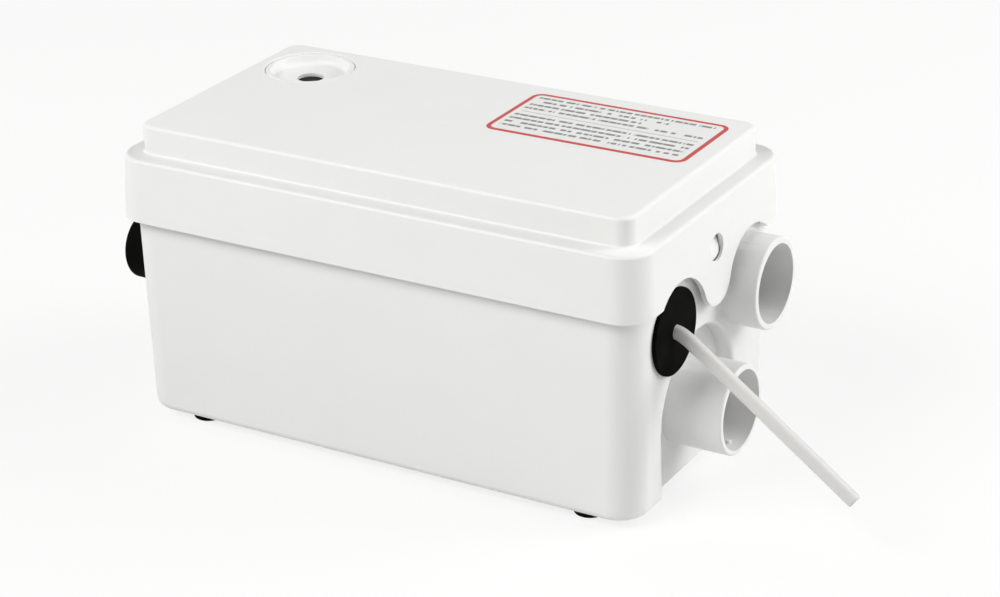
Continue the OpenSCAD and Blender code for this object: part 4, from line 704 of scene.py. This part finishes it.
def labelFilm():
    # printed vinyl film: satin, with a red frame and dark ruled dashes
    s = label
    material, tree = startMaterial("labelFilm")
    parts = addNode(tree, "ShaderNodeSeparateXYZ", None, {"Vector": placeOf(tree)}).outputs
    half = [(high - low) / 2 for low, high in zip(s["low"], s["high"])]
    mid = [(high + low) / 2 for low, high in zip(s["low"], s["high"])]

    def calc(operation, *values):
        settings = {i: value for i, value in enumerate(values) if isinstance(value, (int, float))}
        links = {i: value for i, value in enumerate(values) if i not in settings}
        return addNode(tree, "ShaderNodeMath", {"operation": operation, **settings}, links).outputs[0]

    x = calc("MULTIPLY_ADD", parts["X"], 1 / mm, -mid[0])
    y = calc("MULTIPLY_ADD", parts["Y"], 1 / mm, -mid[1])
    # distance to the film's rounded outline, negative inside
    dx, dy = [calc("SUBTRACT", calc("ABSOLUTE", along), size - s["corner"]) for along, size in zip((x, y), half)]
    outside = calc("SQRT", calc("ADD", *[calc("POWER", calc("MAXIMUM", d, 0), 2) for d in (dx, dy)]))
    inside = calc("MINIMUM", calc("MAXIMUM", dx, dy), 0)
    edge = calc("SUBTRACT", calc("ADD", outside, inside), s["corner"])
    border = calc("GREATER_THAN", edge, -s["frame"])
    # rows of dashes on both sides of a thin rule; dashes and row ends are uneven
    fromRule = calc("SUBTRACT", y, s["ruleY"])
    row = calc("DIVIDE", fromRule, s["row"])
    rowIndex = calc("ROUND", row)
    onLine = calc("LESS_THAN", calc("ABSOLUTE", calc("SUBTRACT", row, rowIndex)), s["rowShare"])
    spread = addNode(tree, "ShaderNodeCombineXYZ", None,
                     {"X": calc("DIVIDE", x, s["word"]), "Y": calc("MULTIPLY", rowIndex, 7.31)}).outputs[0]
    words = addNode(tree, "ShaderNodeTexVoronoi", {"Scale": 1.0, "Randomness": 1.0, "feature": "DISTANCE_TO_EDGE"},
                    {"Vector": spread}).outputs["Distance"]
    chance = addNode(tree, "ShaderNodeTexWhiteNoise", {"noise_dimensions": "1D"}, {"W": rowIndex}).outputs["Value"]
    rowEnd = calc("SUBTRACT", half[0] - s["rowEnd"], calc("MULTIPLY", calc("POWER", chance, 4), s["ragged"]))
    dash = calc("MULTIPLY", calc("GREATER_THAN", words, s["wordGap"]), calc("LESS_THAN", x, rowEnd))
    # fine upright strokes thin the dashes to the grey of small print
    strokes = calc("ADD", calc("MULTIPLY", calc("SINE", calc("MULTIPLY", x, s["stroke"])), 0.22), 0.74)
    printed = calc("MULTIPLY", calc("LESS_THAN", edge, -s["margin"]),
                   calc("GREATER_THAN", calc("ABSOLUTE", rowIndex), 0.5))
    ink = calc("MULTIPLY", calc("MULTIPLY", onLine, calc("MULTIPLY", dash, strokes)), printed)
    rule = calc("MULTIPLY", calc("LESS_THAN", calc("ABSOLUTE", fromRule), s["ruleHalf"]),
                calc("LESS_THAN", edge, -s["ruleMargin"]))
    colour = tint(tree, noise(tree, placeOf(tree), 20), "E6E6E4", "EAEAE8")
    for factor, code in ((border, "C03A36"), (rule, "A9A9A7"), (ink, "262626")):
        colour = tint(tree, factor, colour, code)
    return addSurface(material, {"Roughness": 0.38, "IOR": 1.48}, {"Base Color": colour})


def makeLabel():
    s = label
    bottom = lid["top"][2]
    top = bottom + s["thick"]
    film = addBox("labelPlate", (*s["low"], bottom + s["lift"]), (*s["high"], top))
    roundEdges(film, lambda a, b: abs(a.z - b.z) > s["edgeRound"], s["corner"], 10)
    roundEdges(film, bothAt(2, top), s["edgeRound"], 2)
    return finishPiece(film, labelFilm(), "lid")


makeLabel()
print("label made")


# the CAD solids that stay: merged, lightly bevelled and given their finishes

finishes = {
    "lid_gasket": gasketFoam, "charcoal_filter": charcoalFoam, "inner_lead": cordSheath,
    "deck": deckPlastic, "electrics_box": boxPlastic, "electrics_cover": boxPlastic,
    "terminal_block": naturalNylon, "terminal_screws": zincSteel, "run_capacitor": canPlastic,
    "capacitor_clip": zincSteel, "motor_lead": blackSheath, "switch_lead": blackSheath,
    "pump_mounts": blackRubber, "strainer": filledNylon, "suction_plate": filledNylon, "volute": filledNylon,
    "pump_backplate": castAluminium, "pump_bolts": zincSteel, "seal_seat": sealCeramic, "seal_ring": sealCarbon,
    "lower_bearing": groundSteel, "upper_bearing": groundSteel, "motor_housing": castAluminium,
    "motor_cover": castAluminium, "cover_screws": zincSteel, "stator_core": stackedSteel,
    "rotor_core": stackedSteel, "stator_winding": copperWire, "motor_shaft": groundSteel,
    "impeller": naturalNylon, "impeller_nut": zincSteel, "outlet_hose": blackRubber, "hose_clips": groundSteel,
    "valve_body": naturalNylon, "valve_cap": naturalNylon, "flap_pin": groundSteel, "inlet_flap_pin": groundSteel,
    "check_flap": gasketFoam, "inlet_flap": gasketFoam, "air_chamber": naturalNylon, "switch_base": filledNylon,
    "switch_cover": filledNylon, "diaphragm": siliconeRubber,
    "switch_plunger": acetal, "microswitch": filledNylon, "switch_button": redPlastic, "lever_pin": groundSteel,
    "switch_lever": groundSteel, "deck_screws": zincSteel, "box_screws": zincSteel, "switch_screws": zincSteel,
}
edgeWidths = {"electrics_box": 0.6, "electrics_cover": 0.8, "deck": 0.6, "motor_cover": 0.7, "motor_housing": 0.5,
              "volute": 0.6, "pump_backplate": 0.5, "valve_cap": 0.6, "valve_body": 0.5, "outlet_hose": 0.8}
otherEdge = 0.25


def dressNode(name, material, width):
    node = cadNodes[name]
    node.data.materials.clear()
    node.data.materials.append(material)
    node.data.polygons.foreach_set("use_smooth", [True] * len(node.data.polygons))
    weld = node.modifiers.new("weld", "WELD")
    weld.merge_threshold = 0.004 * mm
    flat = node.modifiers.new("flat", "DECIMATE")
    flat.decimate_type, flat.angle_limit = "DISSOLVE", math.radians(1)
    bevel = node.modifiers.new("edges", "BEVEL")
    bevel.width, bevel.segments, bevel.limit_method = width * mm, 2, "ANGLE"
    bevel.angle_limit = math.radians(40)
    normals = node.modifiers.new("normals", "WEIGHTED_NORMAL")
    normals.weight = 80


for name, material in finishes.items():
    dressNode(name, material, edgeWidths.get(name, otherEdge))
print("inner pieces dressed")


# floor, light and background

studio = {
    "floorSeen": "F2F2F0", "floorBounce": "E0E0DE", "floorGlow": 0.8, "world": 0.12, "reflected": 0.7,
    "lamps": [
        # name, place and target in metres, width, height, watts
        ("key", (-0.9, -1.7, 1.9), (0, 0, 0.08), 1.6, 1.2, 52),
        ("frontLow", (0, -2.15, 0.54), (0, 0, 0.08), 1.8, 0.9, 3.5),
        ("rightBack", (1.38, 0.967, 1.494), (0, 0, 0.08), 1.4, 1.2, 20),
        ("rightBackLow", (1.81, 1.05, 0.76), (0, 0, 0.08), 1.2, 1.0, 20),
        ("lidEndFill", (2.0, -0.6, 0.9), (0.05, 0, 0.08), 1.2, 1.4, 3),
        ("leftLow", (-2.1, 0.5, 0.7), (0, 0, 0.08), 1.4, 1.0, 5),
    ],
}


def backdropShader(tree, surface, whiteShare):
    # camera, glossy and transmitted rays see mostly plain white, so the shadow stays pale
    rays = addNode(tree, "ShaderNodeLightPath").outputs
    seen = rays["Is Camera Ray"]
    for ray in ("Is Glossy Ray", "Is Transmission Ray"):
        seen = addNode(tree, "ShaderNodeMath", {"operation": "MAXIMUM"}, {0: seen, 1: rays[ray]}).outputs[0]
    share = addNode(tree, "ShaderNodeMath", {"operation": "MULTIPLY", 1: whiteShare}, {0: seen}).outputs[0]
    glow = addNode(tree, "ShaderNodeEmission", {"Color": (1, 1, 1, 1), "Strength": 1.0})
    return addNode(tree, "ShaderNodeMixShader", None, {0: share, 1: surface, 2: glow.outputs[0]}).outputs[0]


def makeFloor():
    bpy.ops.object.select_all(action="DESELECT")
    bpy.ops.mesh.primitive_plane_add(size=14, location=(0, 0, 0))
    floor = settle("floor")
    material, tree = startMaterial("paperFloor")
    # the paper throws back less light than it shows, which keeps the low edges from glowing
    isSeen = addNode(tree, "ShaderNodeLightPath").outputs["Is Camera Ray"]
    shade = tint(tree, isSeen, studio["floorBounce"], studio["floorSeen"])
    paper = addNode(tree, "ShaderNodeBsdfDiffuse", None, {"Color": shade})
    surface = backdropShader(tree, paper.outputs[0], studio["floorGlow"])
    addNode(tree, "ShaderNodeOutputMaterial", None, {"Surface": surface})
    floor.data.materials.append(material)


def makeLights():
    for name, place, target, width, height, watts in studio["lamps"]:
        lamp = bpy.data.lights.new(name, "AREA")
        lamp.shape, lamp.size, lamp.size_y, lamp.energy = "RECTANGLE", width, height, watts
        lampObject = bpy.data.objects.new(name, lamp)
        lampObject.location = place
        lampObject.rotation_euler = (Vector(target) - Vector(place)).to_track_quat("-Z", "Y").to_euler()
        scene.collection.objects.link(lampObject)
    world = bpy.data.worlds.new("studio")
    world.use_nodes = True
    tree = world.node_tree
    tree.nodes.clear()
    # dim for surfaces, brighter in reflections so that metals have a room to mirror, white to the camera
    rays = addNode(tree, "ShaderNodeLightPath").outputs
    soft, room, plain = [addNode(tree, "ShaderNodeBackground", {"Color": (1, 1, 1, 1), "Strength": strength})
                         for strength in (studio["world"], studio["reflected"], 1.0)]
    mixed = addNode(tree, "ShaderNodeMixShader", None,
                    {0: rays["Is Glossy Ray"], 1: soft.outputs[0], 2: room.outputs[0]})
    mixed = addNode(tree, "ShaderNodeMixShader", None,
                    {0: rays["Is Camera Ray"], 1: mixed.outputs[0], 2: plain.outputs[0]})
    addNode(tree, "ShaderNodeOutputWorld", None, {"Surface": mixed.outputs[0]})
    scene.world = world


makeFloor()
makeLights()
scene.view_settings.view_transform = "Standard"
print("studio made")
